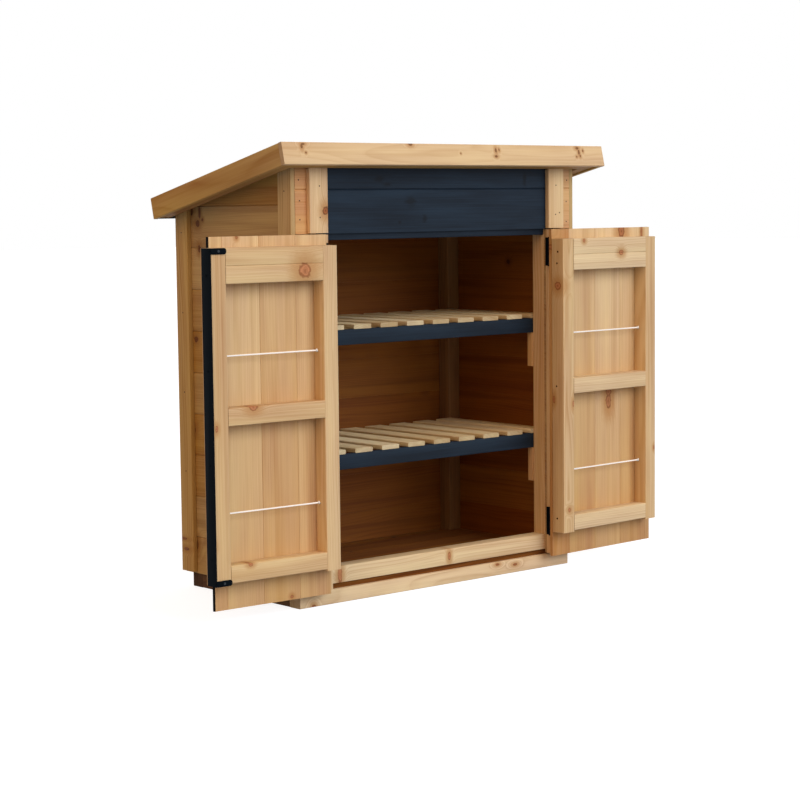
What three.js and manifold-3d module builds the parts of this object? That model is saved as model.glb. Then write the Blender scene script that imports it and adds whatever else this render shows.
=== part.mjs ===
// Street book exchange box: a boarded timber cupboard on a low plinth, with a pent roof that falls to
// the back, two slatted shelves and two doors whose deep frames hold books behind elastic cords.
// Millimetres, +Z up, the front faces -Y, the origin is under the middle of the floor bearer.
// The doors are folded right back against the front, as the object stands when it is in use.

import * as THREE from 'three';
import { mergeVertices } from 'three/addons/utils/BufferGeometryUtils.js';
import Module from 'manifold-3d';

const wasm = await Module();
wasm.setup();

// Timber and board sections
const stock = 44;             // square framing timber
const arris = 2;              // rounded edge of planed timber
const boardThick = 8;         // wall cladding boards
const boardCover = 113;       // visible height of one cladding board
const grooveWidth = 5;        // V joint between two boards
const grooveDepth = 2.5;
const trimThick = 14;         // corner trims, battens, fascia and bargeboards
const trimWidth = 54;
const battenWidth = 59;
const seat = 0.3;             // clearance between pieces that meet at a cut or in a turned frame
const overrun = 40;           // how far a cutting solid runs past what it cuts

// Body
const openingWidth = 800;
const openingHeight = 854;
const bodyDepth = 510;
const plinthHeight = 38;
const floorThick = 15;
const plinthSideInset = 3;
const plinthFrontInset = 8;
const plinthBackInset = 28;
const floorFrontInset = 18;
const trimBottom = 43;        // height of the lower ends of the trims over the ground
const sideFirstJoint = 101;   // the lowest side board shows this much
const headerReveal = 17;      // header rail seen under the front boards
const frontPanelHeight = 165; // front boards, from their lower edge up to the roof's frame
const battenLift = 2;         // battens end this much over the lower edge of the front boards
const jambDrop = 2;           // jamb boards end this much under it

// Roof
const roofPitch = THREE.MathUtils.degToRad(13.15);
const frontOverhang = 63;     // past the front boards, measured level
const backOverhang = 6;       // past the back boards, measured level
const sideOverhang = 66;      // past the corner trims
const fasciaDrop = 4;         // fascia and bargeboards reach this far under the roof's frame
const deckThick = 8;
const feltThick = 2;

// Shelves
const lowerShelfRise = 246;   // from the bottom rail to the front rail of the lower shelf
const upperShelfRise = 576;
const shelfRailHeight = 41;
const shelfRailThick = 20;
const slatCount = 10;
const slatWidth = 60;
const slatEndGap = 37.25;    // outermost slats to the walls
const slatThick = 12;
const cleatLength = 96;
const cleatShow = 3;          // cleat seen past the post

// Doors
const skinThick = 9;
const skinTopClear = 1;       // under the front boards
const skinBoardCover = 112;
const skinGrooveDepth = 1.5;
const leftFrameWidth = 385;
const leftFrameLap = 24.5;    // left door's frame past its skin at the meeting edge
const frameClear = 11;        // door frame to the rails of the opening, over and under it
const stileDrop = 4;          // stiles run this far under the bottom rail
const middleRailRise = 391;   // from the bottom rail to the middle rail
const upperCordRise = 127;    // from the top of a rail to its cord
const lowerCordRise = 127;
const cordThick = 4;
const cordSetback = 26;       // cord behind the front of the door frame
const doorEdgeClear = 2;      // closed door to the side of the opening
const frameMeetingGap = 2.5;  // meeting bar to the right door's frame, closed
const skinMeetingGap = 2;     // edge seal to the right door's skin, closed

// Hinges
const hingeHeight = 80;
const upperHingeOver = 4;     // upper hinge's top over the top of the door frame
const lowerHingeUnder = 11;   // lower hinge's foot under the foot of the door frame
const barrelRadius = 4.2;
const pinRadius = 2;
const pinClear = 0.4;
const knuckleCount = 5;
const knuckleGap = 0.4;
const leafWidth = 28;
const leafThick = 1.5;
const pinStandoff = 4.5;      // pin in front of the jamb boards

// Meeting edge of the left door
const barThick = 2.5;
const barWidth = 40;
const tabLength = 45;
const tabHeight = 15;
const sealThick = 2.5;

// Places worked out from the sizes above
const openingHalf = openingWidth / 2;
const wallHalf = openingHalf + 2 * stock;
const bodyHalf = wallHalf + boardThick;
const trimHalf = bodyHalf + trimThick;
const frontY = -bodyDepth / 2;
const backY = bodyDepth / 2;
const postFrontY = frontY + boardThick;
const postBackY = postFrontY + stock;
const rearPostFrontY = backY - boardThick - stock;
const floorZ = plinthHeight + floorThick;
const headerZ = floorZ + stock + openingHeight;
const frontBoardsZ = headerZ + headerReveal;
const roofHalf = trimHalf + sideOverhang;
const deckHalf = roofHalf - trimThick;
const frameRise = fasciaDrop;
const deckRise = frameRise + stock;
const feltRise = deckRise + deckThick;
const roofThick = feltRise + feltThick;
const roofLength = (frontOverhang + bodyDepth + backOverhang) / Math.cos(roofPitch);
const eavesZ = frontBoardsZ + frontPanelHeight + frontOverhang * Math.tan(roofPitch)
  - fasciaDrop / Math.cos(roofPitch);
const pinY = frontY - trimThick - pinStandoff;
const tall = eavesZ + roofThick;

const pine = (color) => new THREE.MeshStandardMaterial({ color, roughness: 0.65, metalness: 0 });
const framePine = pine('#dcb98a');
const boardPine = pine('#b98a55');
const trimPine = pine('#c69c66');
const slatPine = pine('#e6d8c0');
const navyPaint = new THREE.MeshStandardMaterial({ color: '#27303c', roughness: 0.55, metalness: 0 });
const roofFelt = new THREE.MeshStandardMaterial({ color: '#3d4246', roughness: 0.95, metalness: 0 });
const blackSteel = new THREE.MeshStandardMaterial({ color: '#14171b', roughness: 0.45, metalness: 0.6 });
const blackRubber = new THREE.MeshStandardMaterial({ color: '#101214', roughness: 0.8, metalness: 0 });
const whiteElastic = new THREE.MeshStandardMaterial({ color: '#f2f2ef', roughness: 0.8, metalness: 0 });

const cabinet = new THREE.Group();
const roof = new THREE.Group();
roof.position.set(0, frontY - frontOverhang, eavesZ);
roof.rotation.x = -roofPitch;
cabinet.add(roof);

function addPiece(parent, name, geometry, material) {
  const mesh = new THREE.Mesh(geometry, material);
  mesh.name = name;
  parent.add(mesh);
}

// A block from its lowest to its highest corner.
function block(x0, x1, y0, y1, z0, z1) {
  const geometry = new THREE.BoxGeometry(x1 - x0, y1 - y0, z1 - z0);
  return geometry.translate((x0 + x1) / 2, (y0 + y1) / 2, (z0 + z1) / 2);
}

// Turns a closed three.js geometry into a solid that can be cut and joined.
function solid(geometry) {
  const bare = geometry.clone();
  bare.deleteAttribute('normal');
  bare.deleteAttribute('uv');
  const merged = mergeVertices(bare);
  const mesh = new wasm.Mesh({
    numProp: 3,
    vertProperties: new Float32Array(merged.attributes.position.array),
    triVerts: new Uint32Array(merged.index.array),
  });
  return new wasm.Manifold(mesh);
}

function geometryOf(body) {
  const mesh = body.getMesh();
  const geometry = new THREE.BufferGeometry();
  geometry.setAttribute('position', new THREE.BufferAttribute(new Float32Array(mesh.vertProperties), 3));
  geometry.setIndex(new THREE.BufferAttribute(new Uint32Array(mesh.triVerts), 1));
  return geometry;
}

const join = (...parts) => geometryOf(parts.map(solid).reduce((whole, next) => whole.add(next)));
const cut = (whole, ...tools) => geometryOf(tools.map(solid).reduce((rest, tool) => rest.subtract(tool), solid(whole)));

// Extrudes an outline along the third of three directions, from a starting corner.
function extrudeAlong(outline, length, origin, across, up, along) {
  const shape = new THREE.Shape(outline);
  const geometry = new THREE.ExtrudeGeometry(shape, { depth: length, bevelEnabled: false });
  const basis = new THREE.Matrix4().makeBasis(across, up, along);
  return geometry.applyMatrix4(basis.setPosition(origin));
}

const X = new THREE.Vector3(1, 0, 0);
const Y = new THREE.Vector3(0, 1, 0);
const Z = new THREE.Vector3(0, 0, 1);
const flipped = (axis) => axis.clone().negate();

// Section of planed timber, its four long edges eased by a small round.
function timberSection(width, thick) {
  const r = Math.min(arris, width / 4, thick / 4);
  const round = r * Math.SQRT1_2;
  const points = [];
  const corners = [[r, r, -1, -1], [width - r, r, 1, -1], [width - r, thick - r, 1, 1], [r, thick - r, -1, 1]];
  corners.forEach(([cx, cy, dx, dy], index) => {
    const first = index % 2 === 0 ? [dx * r, 0] : [0, dy * r];
    const last = index % 2 === 0 ? [0, dy * r] : [dx * r, 0];
    points.push(new THREE.Vector2(cx + first[0], cy + first[1]));
    points.push(new THREE.Vector2(cx + dx * round, cy + dy * round));
    points.push(new THREE.Vector2(cx + last[0], cy + last[1]));
  });
  return points;
}

// Planed timber lying along one axis, from its lowest to its highest corner.
function timber(axis, x0, x1, y0, y1, z0, z1) {
  const origin = new THREE.Vector3(x0, y0, z0);
  if (axis === 'x') return extrudeAlong(timberSection(y1 - y0, z1 - z0), x1 - x0, origin, Y, Z, X);
  if (axis === 'y') return extrudeAlong(timberSection(z1 - z0, x1 - x0), y1 - y0, origin, Z, X, Y);
  return extrudeAlong(timberSection(x1 - x0, y1 - y0), z1 - z0, origin, X, Y, Z);
}

// Outline across joined boards: a strip with V joints in its first face, and in its second if asked.
function boardOutline(from, to, thick, joints, depth, bothFaces) {
  const half = grooveWidth / 2;
  const inside = joints.filter((at) => at - half > from && at + half < to);
  const points = [new THREE.Vector2(from, 0)];
  inside.forEach((at) => {
    points.push(new THREE.Vector2(at - half, 0));
    points.push(new THREE.Vector2(at, depth));
    points.push(new THREE.Vector2(at + half, 0));
  });
  points.push(new THREE.Vector2(to, 0), new THREE.Vector2(to, thick));
  if (bothFaces) {
    [...inside].reverse().forEach((at) => {
      points.push(new THREE.Vector2(at + half, thick));
      points.push(new THREE.Vector2(at, thick - depth));
      points.push(new THREE.Vector2(at - half, thick));
    });
  }
  points.push(new THREE.Vector2(from, thick));
  return points;
}

function jointsFrom(first, cover, last) {
  const joints = [];
  for (let at = first; at < last; at += cover) joints.push(at);
  return joints;
}

// A block in the roof's own sloping frame, used to cut wall pieces off under the roof.
function aboveRoofPlane(rise) {
  const tool = block(-roofHalf - overrun, roofHalf + overrun, -overrun, roofLength + overrun,
    rise - seat, rise + tall);
  roof.updateMatrixWorld(true);
  return tool.applyMatrix4(roof.matrixWorld);
}
const underDeck = (geometry) => cut(geometry, aboveRoofPlane(deckRise));
const underTopFrame = (geometry) => cut(geometry, aboveRoofPlane(frameRise));

// Plinth: a low frame set in a little from the walls, and the floor with its middle bearer
const plinthHalf = bodyHalf - plinthSideInset;
const plinthFrontY = frontY + plinthFrontInset;
const plinthBackY = backY - plinthBackInset;
addPiece(cabinet, 'plinth_front',
  timber('x', -plinthHalf, plinthHalf, plinthFrontY, plinthFrontY + stock, 0, plinthHeight), framePine);
const plinthArm = (x0) => block(x0, x0 + stock, plinthFrontY + stock + seat, plinthBackY, 0, plinthHeight);
addPiece(cabinet, 'plinth_back_and_sides', join(
  block(-plinthHalf, plinthHalf, plinthBackY - stock, plinthBackY, 0, plinthHeight),
  plinthArm(-plinthHalf),
  plinthArm(plinthHalf - stock),
), framePine);

const floorFrontY = frontY + floorFrontInset;
const wallBackY = backY - boardThick;
const floorJoints = jointsFrom(floorFrontY + boardCover, boardCover, wallBackY);
addPiece(cabinet, 'floor_boards', join(
  extrudeAlong(boardOutline(floorFrontY, wallBackY - seat, floorThick, floorJoints, grooveDepth, false),
    2 * (wallHalf - seat), new THREE.Vector3(wallHalf - seat, 0, floorZ), Y, flipped(Z), flipped(X)),
  block(-stock / 2, stock / 2, plinthFrontY + stock + seat, plinthBackY - stock - seat, 0, plinthHeight),
), boardPine);

// Posts: a pair of square timbers at each front corner, with the shelf cleats behind, and one at each
// back corner
const shelfLows = [floorZ + stock + lowerShelfRise, floorZ + stock + upperShelfRise];
for (const [name, side] of [['left', -1], ['right', 1]]) {
  const inner = side * openingHalf;
  const outer = side * (wallHalf - seat);
  const [x0, x1] = [Math.min(inner, outer), Math.max(inner, outer)];
  const cleatX = side * (openingHalf - cleatShow);
  const cleats = shelfLows.map((low) => block(Math.min(cleatX, cleatX + side * stock),
    Math.max(cleatX, cleatX + side * stock), postBackY - arris, postBackY + shelfRailThick,
    low - seat - cleatLength, low - seat));
  const pair = block(x0, x1, postFrontY, postBackY, floorZ + seat, tall);
  addPiece(cabinet, `front_${name}_posts`, underTopFrame(join(pair, ...cleats)), boardPine);
  const rearX = side * (wallHalf - seat - stock);
  addPiece(cabinet, `back_${name}_post`, underTopFrame(block(Math.min(rearX, outer), Math.max(rearX, outer),
    rearPostFrontY, wallBackY - seat, floorZ + seat, tall)), boardPine);
}

// Rails of the door opening, and the ring of timber on the posts that carries the roof
addPiece(cabinet, 'bottom_rail', timber('x', -openingHalf + seat, openingHalf - seat, postFrontY, postBackY,
  floorZ, floorZ + stock), framePine);
addPiece(cabinet, 'header_rail', timber('x', -openingHalf + seat, openingHalf - seat, postFrontY, postBackY,
  headerZ, headerZ + stock), navyPaint);
const slopeShare = Math.cos(roofPitch);
const ringFront = (frontOverhang + boardThick + seat) / slopeShare;
const ringBack = (frontOverhang + bodyDepth - boardThick - seat - deckRise * Math.sin(roofPitch)) / slopeShare;
addPiece(roof, 'top_frame', cut(
  block(-wallHalf + seat, wallHalf - seat, ringFront, ringBack, frameRise, deckRise - seat),
  block(-wallHalf + stock, wallHalf - stock, ringFront + stock, ringBack - stock, -overrun, deckRise + overrun),
), boardPine);

// Cladding: horizontal boards with V joints, cut to the slope of the roof at their top
const claddingLow = plinthHeight + seat;
const sideJoints = jointsFrom(plinthHeight + sideFirstJoint, boardCover, tall);
const sideOutline = boardOutline(claddingLow, tall, boardThick, sideJoints, grooveDepth, false);
const sideRun = bodyDepth - 2 * boardThick - 2 * seat;
addPiece(cabinet, 'left_side_boards', underDeck(extrudeAlong(sideOutline, sideRun,
  new THREE.Vector3(-bodyHalf, frontY + boardThick + seat, 0), Z, X, Y)), boardPine);
addPiece(cabinet, 'right_side_boards', underDeck(extrudeAlong(sideOutline, sideRun,
  new THREE.Vector3(bodyHalf, backY - boardThick - seat, 0), Z, flipped(X), flipped(Y))), boardPine);
addPiece(cabinet, 'back_boards', underDeck(extrudeAlong(sideOutline, 2 * bodyHalf,
  new THREE.Vector3(-bodyHalf, backY, 0), Z, flipped(Y), X)), boardPine);

const frontJoints = jointsFrom(frontBoardsZ + boardCover, boardCover, tall);
const frontOutline = boardOutline(frontBoardsZ, tall, boardThick, frontJoints, grooveDepth, false);
const frontBoards = (from, to) => underDeck(extrudeAlong(frontOutline, to - from,
  new THREE.Vector3(to, frontY, 0), Z, Y, flipped(X)));
const panelEdge = openingHalf + battenWidth / 2;
addPiece(cabinet, 'front_boards_left', frontBoards(-bodyHalf, -panelEdge - seat), boardPine);
addPiece(cabinet, 'front_panel', frontBoards(-panelEdge, panelEdge), navyPaint);
addPiece(cabinet, 'front_boards_right', frontBoards(panelEdge + seat, bodyHalf), boardPine);

// Battens over the door opening's sides, jamb boards under them, and corner trims on the side walls
for (const [name, side] of [['left', -1], ['right', 1]]) {
  const span = (a, b) => [Math.min(side * a, side * b), Math.max(side * a, side * b)];
  addPiece(cabinet, `${name}_batten`, underTopFrame(timber('z', ...span(openingHalf, openingHalf + battenWidth),
    frontY - trimThick, frontY, frontBoardsZ + battenLift, tall)), trimPine);
  addPiece(cabinet, `${name}_jamb_board`, timber('z', ...span(openingHalf, bodyHalf - seat),
    frontY - trimThick, postFrontY - seat, trimBottom, frontBoardsZ - jambDrop), trimPine);
  const trimSpan = span(bodyHalf + seat, trimHalf);
  addPiece(cabinet, `front_${name}_trim`, underDeck(timber('z', ...trimSpan,
    frontY, frontY + trimWidth, trimBottom, tall)), trimPine);
  addPiece(cabinet, `back_${name}_trim`, underDeck(timber('z', ...trimSpan,
    backY - trimWidth, backY, trimBottom, tall)), trimPine);
}

// Roof, in its own sloping frame: eaves timbers in the overhang, boarded deck, felt, fascia and barges.
// The front eaves timber fills the space from the fascia back to the front boards.
const eavesTimberBack = (frontOverhang - seat - deckRise * Math.sin(roofPitch)) / slopeShare;
addPiece(roof, 'roof_eaves_frame', join(
  block(-deckHalf + seat, deckHalf - seat, trimThick + seat, eavesTimberBack, frameRise, deckRise - seat),
  block(-deckHalf + seat, -deckHalf + stock, trimThick + seat, roofLength, frameRise, deckRise - seat),
  block(deckHalf - stock, deckHalf - seat, trimThick + seat, roofLength, frameRise, deckRise - seat),
), trimPine);
const deckJoints = jointsFrom(trimThick + boardCover, boardCover, roofLength);
addPiece(roof, 'roof_boards', extrudeAlong(
  boardOutline(trimThick + seat, roofLength, deckThick - seat, deckJoints, grooveDepth, false),
  2 * (deckHalf - seat), new THREE.Vector3(-deckHalf + seat, 0, deckRise), Y, Z, X), boardPine);
addPiece(roof, 'roof_felt', block(-deckHalf + seat, deckHalf - seat, trimThick + seat, roofLength,
  feltRise, roofThick), roofFelt);
addPiece(roof, 'roof_fascia', timber('x', -roofHalf, roofHalf, 0, trimThick, 0, roofThick), framePine);
addPiece(roof, 'left_bargeboard',
  timber('y', -roofHalf, -deckHalf, trimThick + seat, roofLength, 0, roofThick), framePine);
addPiece(roof, 'right_bargeboard',
  timber('y', deckHalf, roofHalf, trimThick + seat, roofLength, 0, roofThick), framePine);

// Shelves: slats that run from front to back on a painted front rail and a back bearer
const outerSlatX = wallHalf - slatEndGap - slatWidth / 2;
const slatPitch = (2 * outerSlatX) / (slatCount - 1);
for (const [name, low] of [['lower', shelfLows[0]], ['upper', shelfLows[1]]]) {
  addPiece(cabinet, `${name}_shelf_rail`, timber('x', -wallHalf + seat, wallHalf - seat, postBackY + seat,
    postBackY + shelfRailThick, low, low + shelfRailHeight), navyPaint);
  const slatLow = low + shelfRailHeight + seat;
  const slats = [];
  for (let index = 0; index < slatCount; index += 1) {
    const middle = index * slatPitch - outerSlatX;
    slats.push(timber('y', middle - slatWidth / 2, middle + slatWidth / 2, postBackY + seat,
      rearPostFrontY - seat, slatLow, slatLow + slatThick));
  }
  const bearer = block(-wallHalf + seat, wallHalf - seat, rearPostFrontY - seat - shelfRailThick,
    rearPostFrontY - seat, low, slatLow + arris);
  addPiece(cabinet, `${name}_shelf_slats`, join(bearer, ...slats), slatPine);
}

// Hinges, each a pair of leaves whose barrels interleave on one pin. Local frame: the pin is the Z axis,
// side says which way the leaf points, and face is the leaf's distance from the pin plane.
function barrel(low, high, radius) {
  const geometry = new THREE.CylinderGeometry(radius, radius, high - low, 16);
  return geometry.rotateX(Math.PI / 2).translate(0, 0, (low + high) / 2);
}

function hingeLeaf(side, reach, faceY, thickTo, low, fixed) {
  const pitch = hingeHeight / knuckleCount;
  const barrels = [];
  const clearings = [];
  for (let index = 0; index < knuckleCount; index += 1) {
    const from = low + index * pitch;
    const mine = (index % 2 === 0) === fixed;
    const [start, end] = [from + knuckleGap / 2, from + pitch - knuckleGap / 2];
    if (mine) barrels.push(barrel(start, end, barrelRadius));
    const [gapLow, gapHigh] = [from - knuckleGap / 2, from + pitch + knuckleGap / 2];
    const around = barrelRadius + knuckleGap;
    if (!mine) clearings.push(block(-around, around, -around, around, gapLow, gapHigh));
  }
  const plate = block(Math.min(0, side * reach), Math.max(0, side * reach), Math.min(faceY, thickTo),
    Math.max(faceY, thickTo), low + knuckleGap / 2, low + hingeHeight - knuckleGap / 2);
  const cleared = cut(plate, ...clearings);
  if (fixed) return join(cleared, ...barrels, barrel(low, low + hingeHeight, pinRadius));
  return cut(join(cleared, ...barrels), barrel(low - overrun, low + hingeHeight + overrun, pinRadius + pinClear));
}

// Doors. Local frame: the hinge pin is the Z axis, X runs along the door, towards its free edge when
// multiplied by side, and -Y is the side that holds the books. pinOut is how far the pin stands outside
// the side of the opening.
const skinFace = pinStandoff;
const frameBack = skinFace + skinThick + seat;
const frameFront = frameBack + stock;
const skinLow = plinthHeight;
const skinHeight = frontBoardsZ - skinTopClear - skinLow;
const frameLow = floorZ + stock + frameClear;
const frameHigh = headerZ - frameClear;
const upperHingeLow = frameHigh + upperHingeOver - hingeHeight;
const lowerHingeLow = frameLow - lowerHingeUnder;
const lowRailZ = frameLow + stileDrop;
const middleRailZ = lowRailZ + middleRailRise;
const doorway = openingWidth - 2 * doorEdgeClear;
const leftSkinWidth = leftFrameWidth - leftFrameLap;
const doors = {
  left: { side: -1, frameWidth: leftFrameWidth, skinWidth: leftSkinWidth, skinJoint: 99, pinOut: 9.5, turn: 2 },
  right: {
    side: 1,
    frameWidth: doorway - leftFrameWidth - barThick - frameMeetingGap,
    skinWidth: doorway - leftSkinWidth - sealThick - skinMeetingGap,
    skinJoint: 74,
    pinOut: -5.5,
    turn: 3,
  },
};

function addDoor(name, { side, frameWidth, skinWidth, skinJoint, pinOut, turn }) {
  const hinge = new THREE.Group();
  const pinX = side * (openingHalf + pinOut);
  hinge.position.set(pinX, pinY, 0);
  cabinet.add(hinge);
  const door = new THREE.Group();
  door.position.copy(hinge.position);
  door.rotation.z = side * THREE.MathUtils.degToRad(turn);
  cabinet.add(door);

  const edge = pinOut + doorEdgeClear;
  const span = (a, b) => [Math.min(side * a, side * b), Math.max(side * a, side * b)];
  const free = edge + frameWidth;

  const joints = jointsFrom(edge + skinJoint, skinBoardCover, edge + skinWidth).map((at) => side * at);
  joints.sort((a, b) => a - b);
  const [skinFrom, skinTo] = span(edge, edge + skinWidth);
  addPiece(door, `${name}_door_skin`, extrudeAlong(
    boardOutline(skinFrom, skinTo, skinThick, joints, skinGrooveDepth, true), skinHeight,
    new THREE.Vector3(0, -skinFace - skinThick, skinLow), X, Y, Z), boardPine);

  const upright = (from, to) => timber('z', ...span(from, to), -frameFront, -frameBack, frameLow, frameHigh);
  addPiece(door, `${name}_door_hinge_stile`, upright(edge, edge + stock), framePine);
  addPiece(door, `${name}_door_free_stile`, upright(free - stock, free), framePine);
  const railSpan = span(edge + stock + seat, free - stock - seat);
  const rail = (low) => timber('x', ...railSpan, -frameFront, -frameBack, low, low + stock);
  addPiece(door, `${name}_door_top_rail`, join(rail(frameHigh - stock), rail(frameHigh - 2 * stock),
    block(...railSpan, -frameFront + arris, -frameBack - arris, frameHigh - 2 * stock + arris,
      frameHigh - arris)), framePine);
  addPiece(door, `${name}_door_middle_rail`, rail(middleRailZ), framePine);
  addPiece(door, `${name}_door_bottom_rail`, rail(lowRailZ), framePine);

  const cordY = -frameFront + cordSetback;
  const [cordFrom, cordTo] = [railSpan[0], railSpan[1]];
  const heights = { upper: middleRailZ + stock + upperCordRise, lower: lowRailZ + stock + lowerCordRise };
  for (const [level, height] of Object.entries(heights)) {
    const path = new THREE.LineCurve3(new THREE.Vector3(cordFrom, cordY, height),
      new THREE.Vector3(cordTo, cordY, height));
    const section = new THREE.Shape().absarc(0, 0, cordThick / 2, 0, 2 * Math.PI);
    addPiece(door, `${name}_door_${level}_cord`, new THREE.ExtrudeGeometry(section,
      { extrudePath: path, steps: 1, curveSegments: 8, bevelEnabled: false }), whiteElastic);
  }

  const leafFace = pinStandoff - seat;
  for (const [level, low] of [['upper', upperHingeLow], ['lower', lowerHingeLow]]) {
    addPiece(hinge, `${name}_${level}_hinge_leaf`,
      hingeLeaf(side, leafWidth, leafFace, leafFace - leafThick, low, true), blackSteel);
    addPiece(door, `${name}_door_${level}_hinge_leaf`,
      hingeLeaf(side, edge + leafWidth, -leafFace, -leafFace + leafThick, low, false), blackSteel);
  }

  if (side < 0) {
    const barSpan = span(free + seat, free + barThick);
    const barFront = -frameFront - seat - barThick;
    const tab = (low) => block(...span(free - tabLength, free + barThick),
      barFront, barFront + barThick, low, low + tabHeight);
    addPiece(door, 'left_door_meeting_bar', join(
      block(...barSpan, barFront, barFront + barWidth, frameLow, frameHigh),
      tab(frameLow), tab(frameHigh - tabHeight)), blackSteel);
    addPiece(door, 'left_door_edge_seal', block(...span(edge + skinWidth + seat, edge + skinWidth + sealThick),
      -skinFace - skinThick, -skinFace, skinLow, skinLow + skinHeight), blackRubber);
  }
}

addDoor('left', doors.left);
addDoor('right', doors.right);

export default cabinet;
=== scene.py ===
# Street book exchange box: a boarded pine cupboard on a plinth, under a roof that slopes to the back,
# with slatted shelves and two doors whose deep frames hold books behind elastic cords.
# Metres, +Z up, the front faces -Y. The doors stand folded back, as the object does in use.

import math
import random
from functools import partial

import bmesh
import bpy
from mathutils import Matrix, Vector


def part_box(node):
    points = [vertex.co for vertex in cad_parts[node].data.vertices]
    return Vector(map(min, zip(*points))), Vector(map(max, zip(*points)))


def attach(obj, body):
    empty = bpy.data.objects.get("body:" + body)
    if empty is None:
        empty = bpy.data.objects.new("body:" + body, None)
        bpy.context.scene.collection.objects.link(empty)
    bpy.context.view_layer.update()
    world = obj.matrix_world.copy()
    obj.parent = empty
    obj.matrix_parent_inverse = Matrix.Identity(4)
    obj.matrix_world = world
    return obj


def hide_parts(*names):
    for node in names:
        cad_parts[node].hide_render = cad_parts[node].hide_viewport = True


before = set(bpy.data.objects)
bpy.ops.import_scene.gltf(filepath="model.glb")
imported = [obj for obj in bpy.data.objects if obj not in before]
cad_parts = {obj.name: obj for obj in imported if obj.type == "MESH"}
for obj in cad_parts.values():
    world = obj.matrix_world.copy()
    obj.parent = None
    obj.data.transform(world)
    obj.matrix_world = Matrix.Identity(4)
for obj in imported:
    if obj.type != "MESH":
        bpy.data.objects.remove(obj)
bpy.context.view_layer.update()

# Square stock, and boards by what each covers, with their V joints, tongues and grooves
STOCK = 0.044
ARRIS = 0.002
TRIM_ARRIS = 0.001
SEAT = 0.0003
BOARD_COVER = 0.113
SKIN_COVER = 0.112
BOARD_GAP = 0.0002
WALL_JOINT = 0.0025
FLOOR_JOINT = 0.0018
SKIN_JOINT = 0.0010
TONGUE = 0.004
GROOVE = 0.0046

# Cabinet
SIDES = {"left": -1, "right": 1}
LEVELS = ("lower", "upper")
PLINTH_HEIGHT = 0.038
FLOOR_FRONT = -0.237
SIDE_FIRST_JOINT = 0.139
FRONT_FIRST_JOINT = 0.968 + BOARD_COVER
OPENING_HALF = 0.400
WALL_THICK = 0.008
WALLS_INSIDE = 0.488
BODY_DEPTH = 0.510
JAMB_THICK = 0.014
PACKING_INSET = 0.0015
CLEAT_LENGTH = 0.096
CLEAT_SHOW = 0.003
SLATS = 10
SLAT_PITCH = 0.0935
SLAT_HALF = 0.030
SLAT_THICK = 0.012
BEARER_DEEP = 0.020

# Roof, measured along its slope and square to it from the foot of the fascia
SLOPE = math.radians(13.15)
ROOF_ORIGIN = Vector((0, -0.318, 1.14360))
ROOF_PLACE = Matrix.Translation(ROOF_ORIGIN) @ Matrix.Rotation(-SLOPE, 4, "X")
ROOF_LENGTH = 0.59459
ROOF_HALF = 0.576
ROOF_THICK = 0.058
ROOF_OVERHANG = 0.063
DECK_HALF = 0.562
FASCIA_THICK = 0.014
FRAME_RISE = 0.004
DECK_RISE = 0.048
FELT_RISE = 0.056
FELT_DRIP = 0.0015
FELT_BEND = 0.0015
ROOF_FRONT = FASCIA_THICK + SEAT
ROOF_EDGE = DECK_HALF - SEAT
CUT_SPARE = 0.02
SLOPE_REACH = 0.16

# Doors, measured from the hinge pin along the door and out from it
PIN_Y = -0.2735
SKIN_BACK = 0.0045
SKIN_FACE = 0.0135
SKIN_LOW = 0.038
SKIN_HIGH = 0.967
FRAME_BACK = 0.0138
FRAME_FRONT = 0.0578
FRAME_LOW = 0.108
FRAME_HIGH = 0.940
RAIL_LOWS = {"middle": 0.503, "bottom": 0.112}
CORD_HEIGHTS = {"upper": 0.674, "lower": 0.283}
CORD_DEPTH = 0.0318
CORD_THICK = 0.004
CORD_INSET = 0.0035
CORD_STEPS = 24
EYE_OUT = 0.0072
EYE_RADIUS = 0.0032
EYE_WIRE = 0.0008
SHANK_RADIUS = 0.0009
SHANK_SUNK = 0.004
SHANK_DROP = 0.0036
KNOT_OUT = 0.0050
KNOT_LOOP = 0.0020
KNOT_CORD = 0.0017
TAIL_RADIUS = 0.0014
TAIL_STEPS = ((0.0030, -0.0030, 0.0012), (-0.0010, -0.0010, 0.0036))

# Hinges. Each knuckle and each leaf stops END_GAP short at both its ends.
HINGE_LOWS = {"upper": 0.864, "lower": 0.097}
HINGE_HEIGHT = 0.080
KNUCKLES = 5
KNUCKLE_RADIUS = 0.0042
LEAF_INNER = 0.0027
LEAF_START = 0.0046
LEAF_WIDTH = 0.028
LEAF_CORNER = 0.0015
LEAF_RETURN = 0.0150
RETURN_THICK = 0.0012
ROLL_START = 0.0004
ROLL_LAP = 0.0002
KNUCKLE_ARRIS = 0.0004
PLATE_ARRIS = 0.0003
END_GAP = 0.0002
PIN_RADIUS = 0.0028
PIN_PROUD = 0.0012
PIN_ARRIS = 0.0008
HINGE_SCREWS = (0.16, 0.5, 0.84)
HINGE_SCREW_INSET = 0.010

# Heads of screws and nails. A screw's head is inset by shares of its radius, to rise and then sink.
SCREW_SUNK = 0.0012
SCREW_PROUD = 0.0004
SCREW_STEPS = ((0.18, 0.0003), (0.42, -0.0008))
NAIL_SUNK = 0.0006
NAIL_PROUD = 0.0003
NAIL_ARRIS = 0.0002
TRIM_NAILS = 5
TRIM_NAIL_FOOT = 0.06
TRIM_NAIL_ENDS = 0.16

# Meeting bar and edge seal of the left door
BAR_THICK = 0.0025
BAR_WIDTH = 0.040
BAR_CORNER = 0.0012
BAR_SCREWS = (0.08, 0.36, 0.64, 0.92)
BAR_SCREW_RADIUS = 0.0036
TAB_LENGTH = 0.045
TAB_HEIGHT = 0.015
TAB_CORNER = 0.006
TAB_SCREW_INSET = 0.022
TAB_SCREW_RADIUS = 0.0030
SEAL_THICK = 0.0025
SEAL_LIP = 0.0019

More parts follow.
